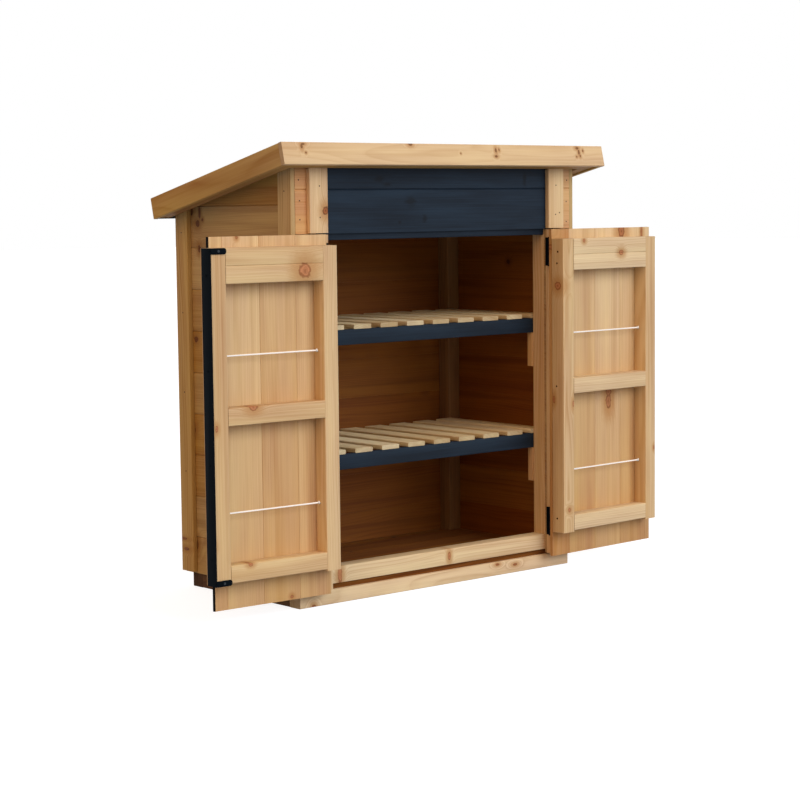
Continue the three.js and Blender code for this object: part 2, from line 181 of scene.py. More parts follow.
# Each door: its side, its pin, its turn past parallel in degrees, where it starts from the pin, how wide
# its frame, its skin and its first board are, and its tones. A tone is 0 for a deep amber board to 1 for a
# pale one, or a pair from its foot to its head.
DOORS = {
    "left": {
        "side": -1, "pin": -0.4095, "turn": 2,
        "edge": 0.0115, "frame": 0.385, "skin": 0.3605, "joint": 0.099,
        "tones": ((0.35, 0.75), (0.25, 0.65), (0.4, 0.8), (0.3, 0.7)),
        "rail_tones": (0.35, 0.4, 0.3), "stile_tones": (0.5, 0.15),
    },
    "right": {
        "side": 1, "pin": 0.3945, "turn": 3,
        "edge": -0.0035, "frame": 0.406, "skin": 0.431, "joint": 0.074,
        "tones": ((0.0, 0.1), (0.15, 0.85), (0.3, 1.0), (0.15, 0.9), (0.2, 0.95)),
        "rail_tones": (0.95, 1.0, 0.9), "stile_tones": (0.35, 0.4),
    },
}
for name, door in DOORS.items():
    turn = Matrix.Rotation(math.radians(door["side"] * door["turn"]), 4, "Z")
    door["place"] = Matrix.Translation((door["pin"], PIN_Y, 0)) @ turn
    door["ride"] = {"body": f"{name}_door", "place": door["place"]}


# Camera, at the photograph's viewing angle


def stand_camera():
    data = bpy.data.cameras.new("camera")
    data.lens = 93.21
    data.sensor_width = 36
    camera = bpy.data.objects.new("camera", data)
    bpy.context.scene.collection.objects.link(camera)
    right = Vector((0.75415, -0.65661, -0.01090))
    up = Vector((0.07006, 0.06393, 0.99550))
    back = Vector((-0.65295, -0.75151, 0.09421))
    turned = Matrix((right, up, back)).transposed().to_4x4()
    camera.matrix_world = Matrix.Translation((-3.761, -4.4105, 1.0421)) @ turned
    bpy.context.scene.camera = camera


stand_camera()


# Modelling, one operation at a time


def deselect():
    bpy.ops.object.select_all(action="DESELECT")


def settle():
    """Gives the place, turn and size of the selected piece to its mesh."""
    bpy.ops.object.transform_apply(location=True, rotation=True, scale=True)
    return bpy.context.object


def start_block(low, high):
    """A cube at its size and place, the start of a timber, board or plate."""
    low, high = Vector(low), Vector(high)
    deselect()
    bpy.ops.mesh.primitive_cube_add(size=1, location=(low + high) / 2)
    bpy.context.object.scale = high - low
    return settle()


def edit(piece):
    deselect()
    piece.select_set(True)
    bpy.context.view_layer.objects.active = piece
    bpy.ops.object.mode_set(mode="EDIT")


def leave():
    bpy.ops.object.mode_set(mode="OBJECT")


def choose(kind, wanted):
    """Selects the edges or faces of the piece being edited that wanted(middle, way) accepts.

    The way is an edge's direction, or the direction in which a face looks.
    """
    bpy.ops.mesh.select_mode(type=kind)
    bpy.ops.mesh.select_all(action="DESELECT")
    data = bpy.context.edit_object.data
    mesh = bmesh.from_edit_mesh(data)
    if kind == "EDGE":
        for edge in mesh.edges:
            first, last = (point.co for point in edge.verts)
            edge.select_set(bool(wanted((first + last) / 2, (last - first).normalized())))
        mesh.select_flush_mode()
    else:
        mesh.normal_update()
        for face in mesh.faces:
            face.select_set(bool(wanted(face.calc_center_median(), face.normal)))
    bmesh.update_edit_mesh(data)


def bevel(wanted, width, segments=1):
    choose("EDGE", wanted)
    bpy.ops.mesh.bevel(offset=width, segments=segments, affect="EDGES")


def inset(width):
    bpy.ops.mesh.inset(thickness=width, depth=0)


def extrude(step):
    bpy.ops.mesh.extrude_region_move(TRANSFORM_OT_translate={"value": step})


def round_edges(piece, wanted, width, segments):
    """Rounds the edges of a piece that wanted accepts, and nothing else."""
    edit(piece)
    bevel(wanted, width, segments)
    leave()
    return piece


def is_level(middle, way):
    return abs(way.z) < 0.1


AXIS = {"x": 0, "y": 1, "z": 2}
ACROSS = {"x": ("z", "y"), "y": ("z", "x"), "z": ("x", "y")}


def set_grain(piece, along, name, across=None, tone=None, inward=None):
    """Gives each point its place in the tree, so that every timber shows its own rings and tone.

    Faces across the grain are marked too, because end grain soaks up more treatment and looks darker,
    and so are those that face inward, to be darkened brown: painted shade of the dark inside of the cabinet.
    """
    chance = random.Random(name)
    wide, deep = across or ACROSS[along]
    shift = (chance.uniform(0, 40), chance.uniform(-0.05, 0.05), chance.uniform(0.015, 0.11))
    tone = chance.random() if tone is None else tone
    foot, head = tone if isinstance(tone, tuple) else (tone, tone)
    spots = [point.co[AXIS[along]] for point in piece.data.vertices]
    places, tones = [], []
    for point, spot in zip(piece.data.vertices, spots):
        places += [spot + shift[0], point.co[AXIS[wide]] + shift[1], point.co[AXIS[deep]] + shift[2]]
        tones.append(foot + (head - foot) * (spot - min(spots)) / (max(spots) - min(spots)))
    ends = [float(abs(face.normal[AXIS[along]]) > 0.7) for face in piece.data.polygons]
    layers = [("grain", "FLOAT_VECTOR", "POINT", "vector", places),
              ("tone", "FLOAT", "POINT", "value", tones),
              ("end_grain", "FLOAT", "FACE", "value", ends)]
    if inward is not None:
        inside_shade = [float(face.normal.dot(inward) > 0.7) for face in piece.data.polygons]
        layers.append(("inside_shade", "FLOAT", "FACE", "value", inside_shade))
    for label, kind, domain, field, values in layers:
        piece.data.attributes.new(label, kind, domain).data.foreach_set(field, values)


def cut_under_roof(piece, rise):
    """Cuts a piece off square to the slope, that far over the foot of the fascia."""
    normal = Vector((0, math.sin(SLOPE), math.cos(SLOPE)))
    edit(piece)
    bpy.ops.mesh.select_all(action="SELECT")
    bpy.ops.mesh.bisect(plane_co=ROOF_ORIGIN + normal * (rise - SEAT), plane_no=normal, use_fill=True,
                        clear_outer=True)
    leave()


def plane_timber(low, high, along, name, rise=None, arris=ARRIS, tone=None):
    """Planed timber with rounded long edges. With rise, its top is cut to the slope of the roof."""
    run = AXIS[along]
    piece = round_edges(start_block(low, high), lambda middle, way: abs(way[run]) > 0.9, arris, 3)
    if rise is not None:
        cut_under_roof(piece, rise)
    set_grain(piece, along, name, tone=tone)
    return piece


def tongued_board(low, high, along, across, show, joint, ends=(True, True)):
    """A tongued and grooved board with a V joint at both long edges.

    show gives the sides of the thickness that carry the V: -1, 1 or both. ends says whether the low
    edge has its groove and the high edge its tongue.
    """
    low, high = Vector(low), Vector(high)
    run, wide = AXIS[along], AXIS[across]
    deep = 3 - run - wide
    middle_depth = (low[deep] + high[deep]) / 2

    def at_joint(middle, way):
        shown = any((middle[deep] - middle_depth) * side > 0 for side in show)
        at_low = ends[0] and abs(middle[wide] - low[wide]) < 1e-5
        at_high = ends[1] and abs(middle[wide] - high[wide]) < 1e-5
        return abs(way[run]) > 0.9 and shown and (at_low or at_high)

    piece = start_block(low, high)
    edit(piece)
    bevel(at_joint, joint)
    thick = high[deep] - low[deep] - joint * len(show)
    for wanted, side, share, depth in ((ends[1], 1, 0.34, TONGUE), (ends[0], -1, 0.28, GROOVE)):
        if wanted:
            choose("FACE", lambda middle, normal: normal[wide] * side > 0.99)
            inset(thick * share)
            step = Vector()
            step[wide] = depth
            extrude(step)
    leave()
    return piece


def board_spans(start, first_joint, stop, cover=BOARD_COVER, trimmed=True):
    """The two edges of each board in a row. The last board is trimmed at the stop, or left whole."""
    edges = [start]
    while edges[-1] < stop - 1e-4:
        edge = first_joint + cover * (len(edges) - 1)
        edges.append(min(edge, stop) if trimmed else edge)
    return list(zip(edges, edges[1:]))


def span(side, first, last):
    """Two distances from the middle or from a hinge pin, as places from low to high."""
    return sorted((side * first, side * last))


def finish_piece(name, parts, material, slot, nodes=(), body="cabinet", place=None, angle=35):
    """Joins the parts, sets them in place, hangs them on the body they ride on and hides the parts they
    stand for.
    """
    deselect()
    for part in parts:
        part.select_set(True)
    bpy.context.view_layer.objects.active = parts[0]
    if len(parts) > 1:
        bpy.ops.object.join()
    piece = bpy.context.object
    piece.name = name
    piece.data.name = name
    if place is not None:
        piece.matrix_world = place
        settle()
    bpy.ops.object.shade_smooth_by_angle(angle=math.radians(angle))
    piece.data.materials.clear()
    piece.data.materials.append(material)
    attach(piece, body)
    if nodes:
        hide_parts(*nodes)
    return piece


# Materials


def linear(code):
    """A shader colour from an sRGB hex code."""
    channels = [int(code[at : at + 2], 16) / 255 for at in (1, 3, 5)]
    return [c / 12.92 if c <= 0.04045 else ((c + 0.055) / 1.055) ** 2.4 for c in channels] + [1]


# The types of node that the materials use most
MATH, VECTOR, RANGE = "ShaderNodeMath", "ShaderNodeVectorMath", "ShaderNodeMapRange"
MIX, NOISE = "ShaderNodeMix", "ShaderNodeTexNoise"


def wire(shader, inputs):
    """Links or sets the inputs of a node."""
    for socket, value in inputs.items():
        if isinstance(value, bpy.types.NodeSocket):
            shader.id_data.links.new(value, shader.inputs[socket])
        else:
            shader.inputs[socket].default_value = value


def add(tree, kind, inputs=None, **settings):
    """Adds one node with its settings, and links or sets its inputs."""
    made = tree.nodes.new(kind)
    for name, value in settings.items():
        setattr(made, name, value)
    wire(made, inputs or {})
    return made.outputs


def new_material(name):
    """A new material, what adds a node to it, and its shader."""
    material = bpy.data.materials.new(name)
    material.use_nodes = True
    return material, partial(add, material.node_tree), material.node_tree.nodes["Principled BSDF"]


def lay_ramp(output, stops):
    """Sets the stops of a colour ramp, from place to grey level."""
    elements = output.node.color_ramp.elements
    while len(elements) < len(stops):
        elements.new(0.5)
    for element, (place, level) in zip(elements, stops):
        element.position = place
        element.color = (level, level, level, 1)


def grain_noise(node, grain, cells, detail):
    """Noise drawn out along the grain, with this many cells in a metre along, across and deep."""
    drawn = node(VECTOR, {0: grain, 1: cells}, operation="MULTIPLY")[0]
    return node(NOISE, {"Vector": drawn, "Scale": 1, "Detail": detail})


def through(node, kind, value, *steps):
    """Puts a value through one node after another, each with its operation and its other inputs."""
    for operation, *others in steps:
        value = node(kind, dict(enumerate((value, *others))), operation=operation)[0]
    return value


def knot_reach(node, knots, reach):
    """Distance from the nearest of the placed knots, in knot radii, where it is less than reach."""
    place = node("ShaderNodeTexCoord")["Object"]
    for middle, radii in knots:
        gap = through(node, VECTOR, place, ("SUBTRACT", middle), ("DIVIDE", radii))
        gap = node(VECTOR, {0: gap}, operation="LENGTH")["Value"]
        reach = node(MATH, {0: reach, 1: gap}, operation="MINIMUM")[0]
    return reach


def branch_reach(node, grain, knots, knot_share):
    """Distance from the nearest knot, in knot radii, over the placed knots and a few strewn ones."""
    # Branch knots of 3 to 10 mm radius, a few in each metre of a board
    spread = node(VECTOR, {0: grain, 1: (2.6, 9, 0)}, operation="MULTIPLY")[0]
    cells = node("ShaderNodeTexVoronoi", {"Vector": spread, "Scale": 1, "Randomness": 0.75},
                 voronoi_dimensions="2D")
    branch = through(node, VECTOR, cells["Position"], ("SUBTRACT", spread),
                     ("MULTIPLY", (1 / 2.6, 1 / 9, 0)))
    away = node(VECTOR, {0: branch}, operation="LENGTH")["Value"]
    pick = node("ShaderNodeSeparateColor", {0: cells["Color"]})
    size = node(RANGE, {"Value": pick[0], "To Min": 0.003, "To Max": 0.010})[0]
    reach = node(MATH, {0: away, 1: size}, operation="DIVIDE")[0]
    reach = through(node, MATH, pick[1], ("GREATER_THAN", knot_share), ("MULTIPLY_ADD", 60, reach))
    reach = knot_reach(node, knots, reach)
    ripple = node(NOISE, {"Vector": grain, "Scale": 110, "Detail": 2})[0]
    ripple = node(RANGE, {"Value": ripple, "To Min": -0.45, "To Max": 0.45})[0]
    return node(MATH, {0: reach, 1: ripple}, operation="ADD")[0]


def year_rings(node, grain, reach, ring):
    """Year rings, each pale at first and dark at its end, some wide and some narrow."""
    # The pith wanders a little from side to side along the trunk, and the rings part round each knot
    trunk = through(node, VECTOR, grain_noise(node, grain, (1.1, 5, 5), 2)["Color"],
                    ("SUBTRACT", (0.5, 0.5, 0.5)), ("MULTIPLY", (0, 0.05, 0.05)), ("ADD", grain),
                    ("MULTIPLY", (0, 1, 1)))
    radius = node(VECTOR, {0: trunk}, operation="LENGTH")["Value"]
    count = through(node, MATH, reach, ("POWER", 2), ("MULTIPLY", -0.12), ("EXPONENT",),
                    ("MULTIPLY_ADD", ring * 4, radius), ("DIVIDE", ring))
    years = node(NOISE, {"W": count, "Scale": 0.45, "Detail": 1}, noise_dimensions="1D")[0]
    year = through(node, MATH, years, ("MULTIPLY_ADD", 2.4, count), ("FRACT",))
    rings = node("ShaderNodeValToRGB", {0: year})[0]
    lay_ramp(rings, [(0.0, 0.3), (0.12, 0.0), (0.5, 0.2), (0.84, 0.8), (0.93, 1.0), (1.0, 0.3)])
    return rings


def knot_layers(node, reach, late, knot, rim):
    """Round a knot the wood turns amber, its heart shows rings again and its bark ring is nearly black."""
    halo = node(RANGE, {"Value": reach, "From Min": 4.4, "From Max": 1.0, "To Max": 0.8},
                interpolation_type="SMOOTHSTEP")[0]
    core = node(RANGE, {"Value": reach, "From Min": 1.15, "From Max": 0.75},
                interpolation_type="SMOOTHSTEP")[0]
    heart = through(node, MATH, reach, ("MULTIPLY", 17), ("SINE",))
    heart = node(RANGE, {"Value": heart, "From Min": -1, "To Max": 0.4})[0]
    pit = node(RANGE, {"Value": reach, "From Min": 0.45, "From Max": 0.1, "To Max": 0.8})[0]
    heart = node(MATH, {0: heart, 1: pit}, operation="MAXIMUM")[0]
    branch_wood = node(MIX, {0: heart, 6: knot, 7: rim}, data_type="RGBA")[2]
    edge = through(node, MATH, reach, ("SUBTRACT", 1), ("ABSOLUTE",))
    edge = node(RANGE, {"Value": edge, "From Min": 0.28, "From Max": 0.05, "To Max": 0.85})[0]
    return [(halo, late, "MIX"), (core, branch_wood, "MIX"), (edge, rim, "MIX")]


def pine(name, early, late, knot, rim, ring=0.0045, contrast=0.34, amber=0.4, deep=0.0, knots=(),
         knot_share=0.3, gloss=0.55):
    """Planed Scots pine: pale early wood, darker late wood rings, long fibres and round branch knots."""
    material, node, shader = new_material(name)
    early, late, knot, rim = (linear(code) for code in (early, late, knot, rim))
    grain = node("ShaderNodeAttribute", attribute_name="grain")["Vector"]
    tone, end, inside_shade = (node("ShaderNodeAttribute", attribute_name=layer)["Fac"]
                         for layer in ("tone", "end_grain", "inside_shade"))
    reach = branch_reach(node, grain, knots, knot_share)
    rings = year_rings(node, grain, reach, ring)

    # Some stretches of a plank show their rings plainly and others hardly at all. The fibres are drawn up
    # to 2.6 mm wide, much coarser than real ones, so that they show.
    fibre = grain_noise(node, grain, (6, 380, 380), 3)[0]
    cloud = grain_noise(node, grain, (2.2, 20, 20), 3)[0]
    plain = node(RANGE, {"Value": cloud, "From Min": 0.3, "From Max": 0.7,
                         "To Min": contrast * 1.5, "To Max": contrast * 0.4})[0]
    plain = node(MATH, {0: end, 1: 0.35, 2: plain}, operation="MULTIPLY_ADD")[0]
    dark = node(MATH, {0: rings, 1: plain}, operation="MULTIPLY")[0]
    dark = node(MATH, {0: fibre, 1: 0.5, 2: dark}, operation="MULTIPLY_ADD")[0]
    dark = node(MATH, {0: dark, 1: 0.2}, operation="SUBTRACT", use_clamp=True)[0]

    # Broad amber bands, where the heartwood of the tree comes to the face
    band = grain_noise(node, grain, (1.3, 34, 34), 2)[0]
    band = node(RANGE, {"Value": band, "From Min": 0.48, "From Max": 0.72, "To Max": amber},
                interpolation_type="SMOOTHSTEP")[0]
    shares = [dark, band]
    if deep:
        shares.append(node(RANGE, {"Value": tone, "To Min": deep, "To Max": 0})[0])
    wood = early
    for share in shares:
        wood = node(MIX, {0: share, 6: wood, 7: late}, data_type="RGBA")[2]

    # A pale board is also less rich and a little greener than an amber one
    level = node(RANGE, {"Value": tone, "To Min": 0.88, "To Max": 1.1})[0]
    level = through(node, MATH, cloud, ("MULTIPLY_ADD", 0.34, level), ("SUBTRACT", 0.17))
    level = node(MATH, {0: end, 1: -0.3, 2: level}, operation="MULTIPLY_ADD")[0]
    mixed = node(MATH, {0: tone, 1: 0.4, 2: cloud}, operation="MULTIPLY_ADD")[0]
    hue = node(RANGE, {"Value": mixed, "From Min": 0.4, "From Max": 1.0,
                       "To Min": 0.493, "To Max": 0.516})[0]
    rich = node(RANGE, {"Value": tone, "To Min": 1.12, "To Max": 0.84})[0]
    wood = node("ShaderNodeHueSaturation",
                {"Hue": hue, "Saturation": rich, "Value": level, "Color": wood})[0]
    layers = knot_layers(node, reach, late, knot, rim)
    # Faces inside the cabinet are multiplied by a brown: painted shade of the dark interior
    for share, colour, blend in (*layers, (inside_shade, linear("#C0904F"), "MULTIPLY")):
        wood = node(MIX, {0: share, 6: wood, 7: colour}, data_type="RGBA", blend_type=blend)[2]

    rough = node(RANGE, {"Value": fibre, "To Min": gloss, "To Max": gloss + 0.22})[0]
    height = node(MATH, {0: rings, 1: 0.35, 2: fibre}, operation="MULTIPLY_ADD")[0]
    bump = node("ShaderNodeBump", {"Strength": 0.4, "Distance": 0.0004, "Height": height})[0]
    wire(shader, {"Base Color": wood, "Roughness": rough, "Normal": bump, "Specular IOR Level": 0.3})
    return material


def door_point(name, reach, depth, height):
    """A place on a door, from the hinge pin along the door and out from it, in the part's frame."""
    return DOORS[name]["place"] @ Vector((DOORS[name]["side"] * reach, -depth, height))


def door_knots(depth, spots):
    """Knots in one plane of the doors, each with its reach along its door, its height and its radii."""
    return [(door_point(name, reach, depth, height), radii) for name, reach, height, radii in spots]


# The knots that show, each by its middle and its radii
FRAME_KNOTS = door_knots(FRAME_FRONT, (
    ("left", 0.1125, 0.879, (0.0165, 0.05, 0.0165)),
    ("left", 0.277, 0.5455, (0.011, 0.03, 0.008)),
    ("left", 0.294, 0.1535, (0.006, 0.03, 0.004)),
    ("left", 0.388, 0.499, (0.0035, 0.02, 0.007)),
    ("right", 0.0855, 0.9338, (0.0045, 0.03, 0.0045)),
    ("right", 0.2479, 0.8965, (0.008, 0.03, 0.0065)),
    ("right", 0.0370, 0.4737, (0.0035, 0.02, 0.008)),
    ("right", 0.3965, 0.318, (0.003, 0.02, 0.005)),
)) + [
    (door_point("right", -0.0035, 0.0365, 0.8085), (0.012, 0.0095, 0.010)),
    (door_point("right", -0.0035, 0.0210, 0.4880), (0.012, 0.0035, 0.010)),
    ((-0.3588, -0.247, 0.0745), (0.006, 0.02, 0.020)),
    ((0.030, -0.247, 0.0770), (0.0045, 0.02, 0.010)),
]
FASCIA_KNOTS = [
    ((-0.5135, -0.307, 1.189), (0.003, 0.02, 0.005)),
    ((-0.5090, -0.306, 1.1945), (0.005, 0.02, 0.002)),
    ((-0.5027, -0.311, 1.173), (0.002, 0.02, 0.002)),
    ((-0.1492, -0.305, 1.198), (0.005, 0.03, 0.0035)),
    ((0.0264, -0.311, 1.175), (0.0015, 0.02, 0.0015)),
    ((0.1580, -0.309, 1.184), (0.003, 0.02, 0.005)),
    ((0.1700, -0.308, 1.186), (0.002, 0.02, 0.003)),
    ((0.1560, -0.312, 1.168), (0.004, 0.02, 0.0025)),
    ((0.4755, -0.306, 1.193), (0.005, 0.02, 0.003)),
    ((0.4800, -0.309, 1.182), (0.003, 0.02, 0.0055)),
    ((0.4970, -0.308, 1.186), (0.002, 0.02, 0.003)),
    ((0.4837, -0.311, 1.171), (0.002, 0.02, 0.003)),
    ((0.4688, -0.312, 1.169), (0.002, 0.02, 0.002)),
]
SKIN_KNOTS = door_knots(SKIN_FACE, (
    ("right", 0.3009, 0.957, (0.012, 0.03, 0.016)),
    ("right", 0.2423, 0.4645, (0.010, 0.02, 0.020)),
    ("right", 0.2423, 0.4910, (0.011, 0.02, 0.009)),
    ("right", 0.3924, 0.9541, (0.0035, 0.02, 0.016)),
    ("left", 0.2889, 0.9640, (0.003, 0.02, 0.004)),
    ("left", 0.137, 0.046, (0.004, 0.02, 0.004)),
))
TRIM_KNOTS = [
    ((-0.408, -0.269, 1.027), (0.008, 0.03, 0.010)),
    ((0.2123, -0.247, 0.0310), (0.006, 0.02, 0.003)),
    ((0.2813, -0.247, 0.0228), (0.007, 0.02, 0.003)),
    ((-0.510, 0.2334, 0.1039), (0.03, 0.010, 0.004)),
    ((-0.510, 0.2450, 0.1319), (0.03, 0.012, 0.003)),
]
WALL_KNOTS = [((-0.496, along, height), (0.02, long, high)) for along, height, long, high in (
    (0.1610, 1.0242, 0.004, 0.014),
    (0.1707, 0.9957, 0.0075, 0.0075),
    (0.2007, 1.0297, 0.010, 0.010),
    (0.1487, 1.0054, 0.0035, 0.0035),
    (0.1650, 0.9273, 0.005, 0.008),
    (0.1869, 0.6828, 0.007, 0.007),
    (0.2101, 0.9025, 0.003, 0.003),
    (0.2090, 0.4349, 0.009, 0.009),
    (0.2053, 0.1167, 0.008, 0.012),
)]
PANEL_KNOTS = [((across, -0.255, height), (wide, 0.02, high)) for across, height, wide, high in (
    (-0.1048, 1.048, 0.013, 0.010),
    (-0.0553, 1.002, 0.006, 0.007),
    (-0.1444, 0.993, 0.004, 0.003),
    (-0.212, 1.108, 0.012, 0.006),
    (-0.186, 1.094, 0.012, 0.005),
    (0.319, 1.106, 0.006, 0.016),
)]

# Scots pine, planed and clear treated: warm straw with honey rings and red-brown knots
frame_pine = pine("planed_pine_framing", "#DEC49C", "#BB8E5A", "#C3875D", "#8E5731", contrast=0.46,
                  knots=FRAME_KNOTS, knot_share=0.05)
trim_pine = pine("planed_pine_trim", "#DEC097", "#B98A57", "#A8683D", "#6B3A1A", contrast=0.44,
                 knots=TRIM_KNOTS, knot_share=0.08)
# The fascia has fine even rings and small dark knots
fascia_pine = pine("planed_pine_fascia", "#DBBD95", "#B98A58", "#94683F", "#573718", contrast=0.34,
                   knots=FASCIA_KNOTS, knot_share=0.0)
# The same timber at the sides of the box, darker and more amber: painted shade of the sides, which stand in
# shade
side_pine_painted_shade = pine("preserved_pine_trim", "#C6A86E", "#A1763C", "#96602F", "#5E3416", contrast=0.5,
                  knots=TRIM_KNOTS, knot_share=0.08)
# Door boards of the same timber, from nearer the heart of the tree
skin_pine = pine("tongued_pine_door_board", "#DEBE93", "#B4824B", "#B67B50", "#7D4A29", ring=0.006,
                 contrast=0.3, amber=0.35, deep=0.5, knots=SKIN_KNOTS, knot_share=0.04)
# Boards over the door opening, the pinkest of the timber
front_pine = pine("tongued_pine_front_board", "#E8C299", "#BE8851", "#B67B50", "#7D4A29", ring=0.006,
                  contrast=0.34, amber=0.35, deep=0.5, knot_share=0.04)
# Wall boards, deeper and redder than the doors: painted shade of the walls, which stand in shade
wall_pine_painted_shade = pine("tongued_pine_wall_board_painted_shade", "#B59159", "#8D6331", "#6E4019", "#43240D", contrast=0.46,
                 amber=0.7, knots=WALL_KNOTS, knot_share=0.2)
# Sapwood slats, left untreated: almost cream
slat_pine = pine("untreated_pine_slat", "#EEDBB4", "#D0B482", "#B08658", "#7C5835", knot_share=0.06)
# Planed posts inside the cabinet, coloured dark amber brown: painted shade of the dark interior
post_pine_painted_shade = pine("planed_pine_painted_inside_shade", "#8F5F2C", "#613A17", "#5E3614", "#3A1F0B", contrast=0.5)
# Sawn timber in dark brown: the floor, rough sawn and with painted shade of its recess under the bottom
# rail, and the plinth frame, darker still with painted shade of the deep shadow under the doors and walls
sawn_pine_painted_shade = pine("sawn_pine_with_painted_shade", "#8A5A30", "#5E3616", "#4A2810", "#2E1708", contrast=0.7,
                 knot_share=0.2, gloss=0.75)
sawn_pine_deep_painted_shade = pine("sawn_pine_with_deep_painted_shade", "#5E3B20", "#3C2310", "#34200F", "#201006", contrast=0.6,
                 knot_share=0.2, gloss=0.8)


def navy_stain():
    """Opaque water-based timber stain in navy: satin, with fibres and knots of the pine just under it.

    The fibres are drawn up to 4 mm wide, much coarser than real ones, so that they show.
    """
    material, node, shader = new_material("navy_timber_stain")
    grain = node("ShaderNodeAttribute", attribute_name="grain")["Vector"]
    fibre = grain_noise(node, grain, (5, 260, 260), 4)[0]
    cloud = grain_noise(node, grain, (3, 22, 22), 3)[0]
    feather = grain_noise(node, grain, (22, 150, 150), 3)[0]
    both = node(MATH, {0: fibre, 1: 0.5, 2: cloud}, operation="MULTIPLY_ADD")[0]
    worn = node(RANGE, {"Value": both, "From Min": 0.55, "From Max": 0.95})[0]
    far = node(RANGE, {"Value": cloud, "To Min": 8, "To Max": 9})[0]
    reach = knot_reach(node, PANEL_KNOTS, far)
    reach = node(MATH, {0: feather, 1: 2.4, 2: reach}, operation="MULTIPLY_ADD")[0]
    branch = node(RANGE, {"Value": reach, "From Min": 3.2, "From Max": 1.5, "To Max": 0.7},
                  interpolation_type="SMOOTHSTEP")[0]
    paint = linear("#141E2A")
    for share, colour in ((worn, "#202F3F"), (branch, "#0E1218")):
        paint = node(MIX, {0: share, 6: paint, 7: linear(colour)}, data_type="RGBA")[2]
    rough = node(RANGE, {"Value": fibre, "To Min": 0.42, "To Max": 0.62})[0]
    height = node(MATH, {0: branch, 1: 0.6, 2: fibre}, operation="MULTIPLY_ADD")[0]
    bump = node("ShaderNodeBump", {"Strength": 0.5, "Distance": 0.0005, "Height": height})[0]
    wire(shader, {"Base Color": paint, "Roughness": rough, "Normal": bump, "Specular IOR Level": 0.1})
    return material


def mineral_felt():
    """Shed roofing felt: bitumen with slate grit of about 1 mm, drawn at 2 mm so that it shows."""
    material, node, shader = new_material("mineral_roofing_felt")
    place = node("ShaderNodeTexCoord")["Object"]
    grit = node("ShaderNodeTexVoronoi", {"Vector": place, "Scale": 500, "Randomness": 1})
    shade = node("ShaderNodeSeparateColor", {0: grit["Color"]})[0]
    cloud = node(NOISE, {"Vector": place, "Scale": 7, "Detail": 4})[0]
    mixed = node(MATH, {0: cloud, 1: 0.7, 2: shade}, operation="MULTIPLY_ADD")[0]
    level = node(RANGE, {"Value": mixed, "From Max": 1.6})[0]
    ends = {6: linear("#2F3438"), 7: linear("#5E666A")}
    colour = node(MIX, {0: level, **ends}, data_type="RGBA")[2]
    bump = node("ShaderNodeBump", {"Strength": 0.6, "Distance": 0.0008, "Height": shade})[0]
    wire(shader, {"Base Color": colour, "Normal": bump, "Roughness": 0.95})
    return material


def metal(name, low, high, metallic, rough):
    """Steel with a thin finish, rippled at about 1 mm: colour and gloss shift a little over it."""
    material, node, shader = new_material(name)
    place = node("ShaderNodeTexCoord")["Object"]
    speck = node(NOISE, {"Vector": place, "Scale": 900, "Detail": 2})[0]
    cloud = node(NOISE, {"Vector": place, "Scale": 40, "Detail": 3})[0]
    colour = node(MIX, {0: cloud, 6: linear(low), 7: linear(high)}, data_type="RGBA")[2]
    gloss = node(RANGE, {"Value": cloud, "To Min": rough - 0.08, "To Max": rough + 0.1})[0]
    bump = node("ShaderNodeBump", {"Strength": 0.15, "Distance": 0.0002, "Height": speck})[0]
    wire(shader, {"Base Color": colour, "Roughness": gloss, "Normal": bump, "Metallic": metallic,
                  "Specular IOR Level": 0.5 if metallic else 0.03})
    return material


def braided_elastic():
    """White covered elastic: polyester yarns of about 0.8 mm braided round a rubber core."""
    material, node, shader = new_material("braided_white_elastic")
    wrap = node("ShaderNodeUVMap", uv_map="UVMap")[0]
    waves = []
    for lean in (1, -1):
        turned = node("ShaderNodeMapping", {"Vector": wrap, "Rotation": (0, 0, lean * math.radians(35))})[0]
        waves.append(node("ShaderNodeTexWave", {"Vector": turned, "Scale": 190, "Distortion": 0})[1])
    braid = node(MATH, {0: waves[0], 1: waves[1]}, operation="MULTIPLY")[0]
    ends = {6: linear("#EFEEEA"), 7: linear("#FFFFFF")}
    colour = node(MIX, {0: braid, **ends}, data_type="RGBA")[2]
    bump = node("ShaderNodeBump", {"Strength": 0.5, "Distance": 0.0002, "Height": braid})[0]
    wire(shader, {"Base Color": colour, "Normal": bump, "Roughness": 0.8, "Sheen Weight": 0.2})
    # The white yarn glows a little: painted light, so that it is brighter than the lamps alone would make it
    wire(shader, {"Emission Color": linear("#FFFFFF"), "Emission Strength": 0.18})
    return material


navy = navy_stain()
felt = mineral_felt()
elastic = braided_elastic()
black_steel = metal("black_powder_coated_steel", "#03080E", "#081119", 0.0, 0.6)
black_rubber = metal("black_rubber_extrusion", "#0B0C0E", "#17181B", 0.0, 0.7)
zinc = metal("bright_zinc_plate", "#A9ADB0", "#D0D3D5", 1.0, 0.35)
worn_zinc = metal("worn_zinc_plate", "#34393F", "#4C5259", 1.0, 0.55)
dark_zinc = metal("dulled_nail_steel", "#32261C", "#4C3C2C", 0.4, 0.6)
rusty_steel = metal("rust_stained_screw_steel", "#240F05", "#3C1C0B", 0.0, 0.8)


# Elastic cords, held in a screw eye at each stile


def lay_tube(points, radius):
    """A tube along the points, closed at both ends."""
    data = bpy.data.curves.new("tube", "CURVE")
    data.dimensions = "3D"
    data.bevel_depth = radius
    data.bevel_resolution = 3
    data.use_fill_caps = True
    line = data.splines.new("POLY")
    line.points.add(len(points) - 1)
    for spot, point in zip(line.points, points):
        spot.co = (*point, 1)
    made = bpy.data.objects.new("tube", data)
    bpy.context.scene.collection.objects.link(made)
    deselect()
    made.select_set(True)
    bpy.context.view_layer.objects.active = made
    bpy.ops.object.convert(target="MESH")
    return bpy.context.object


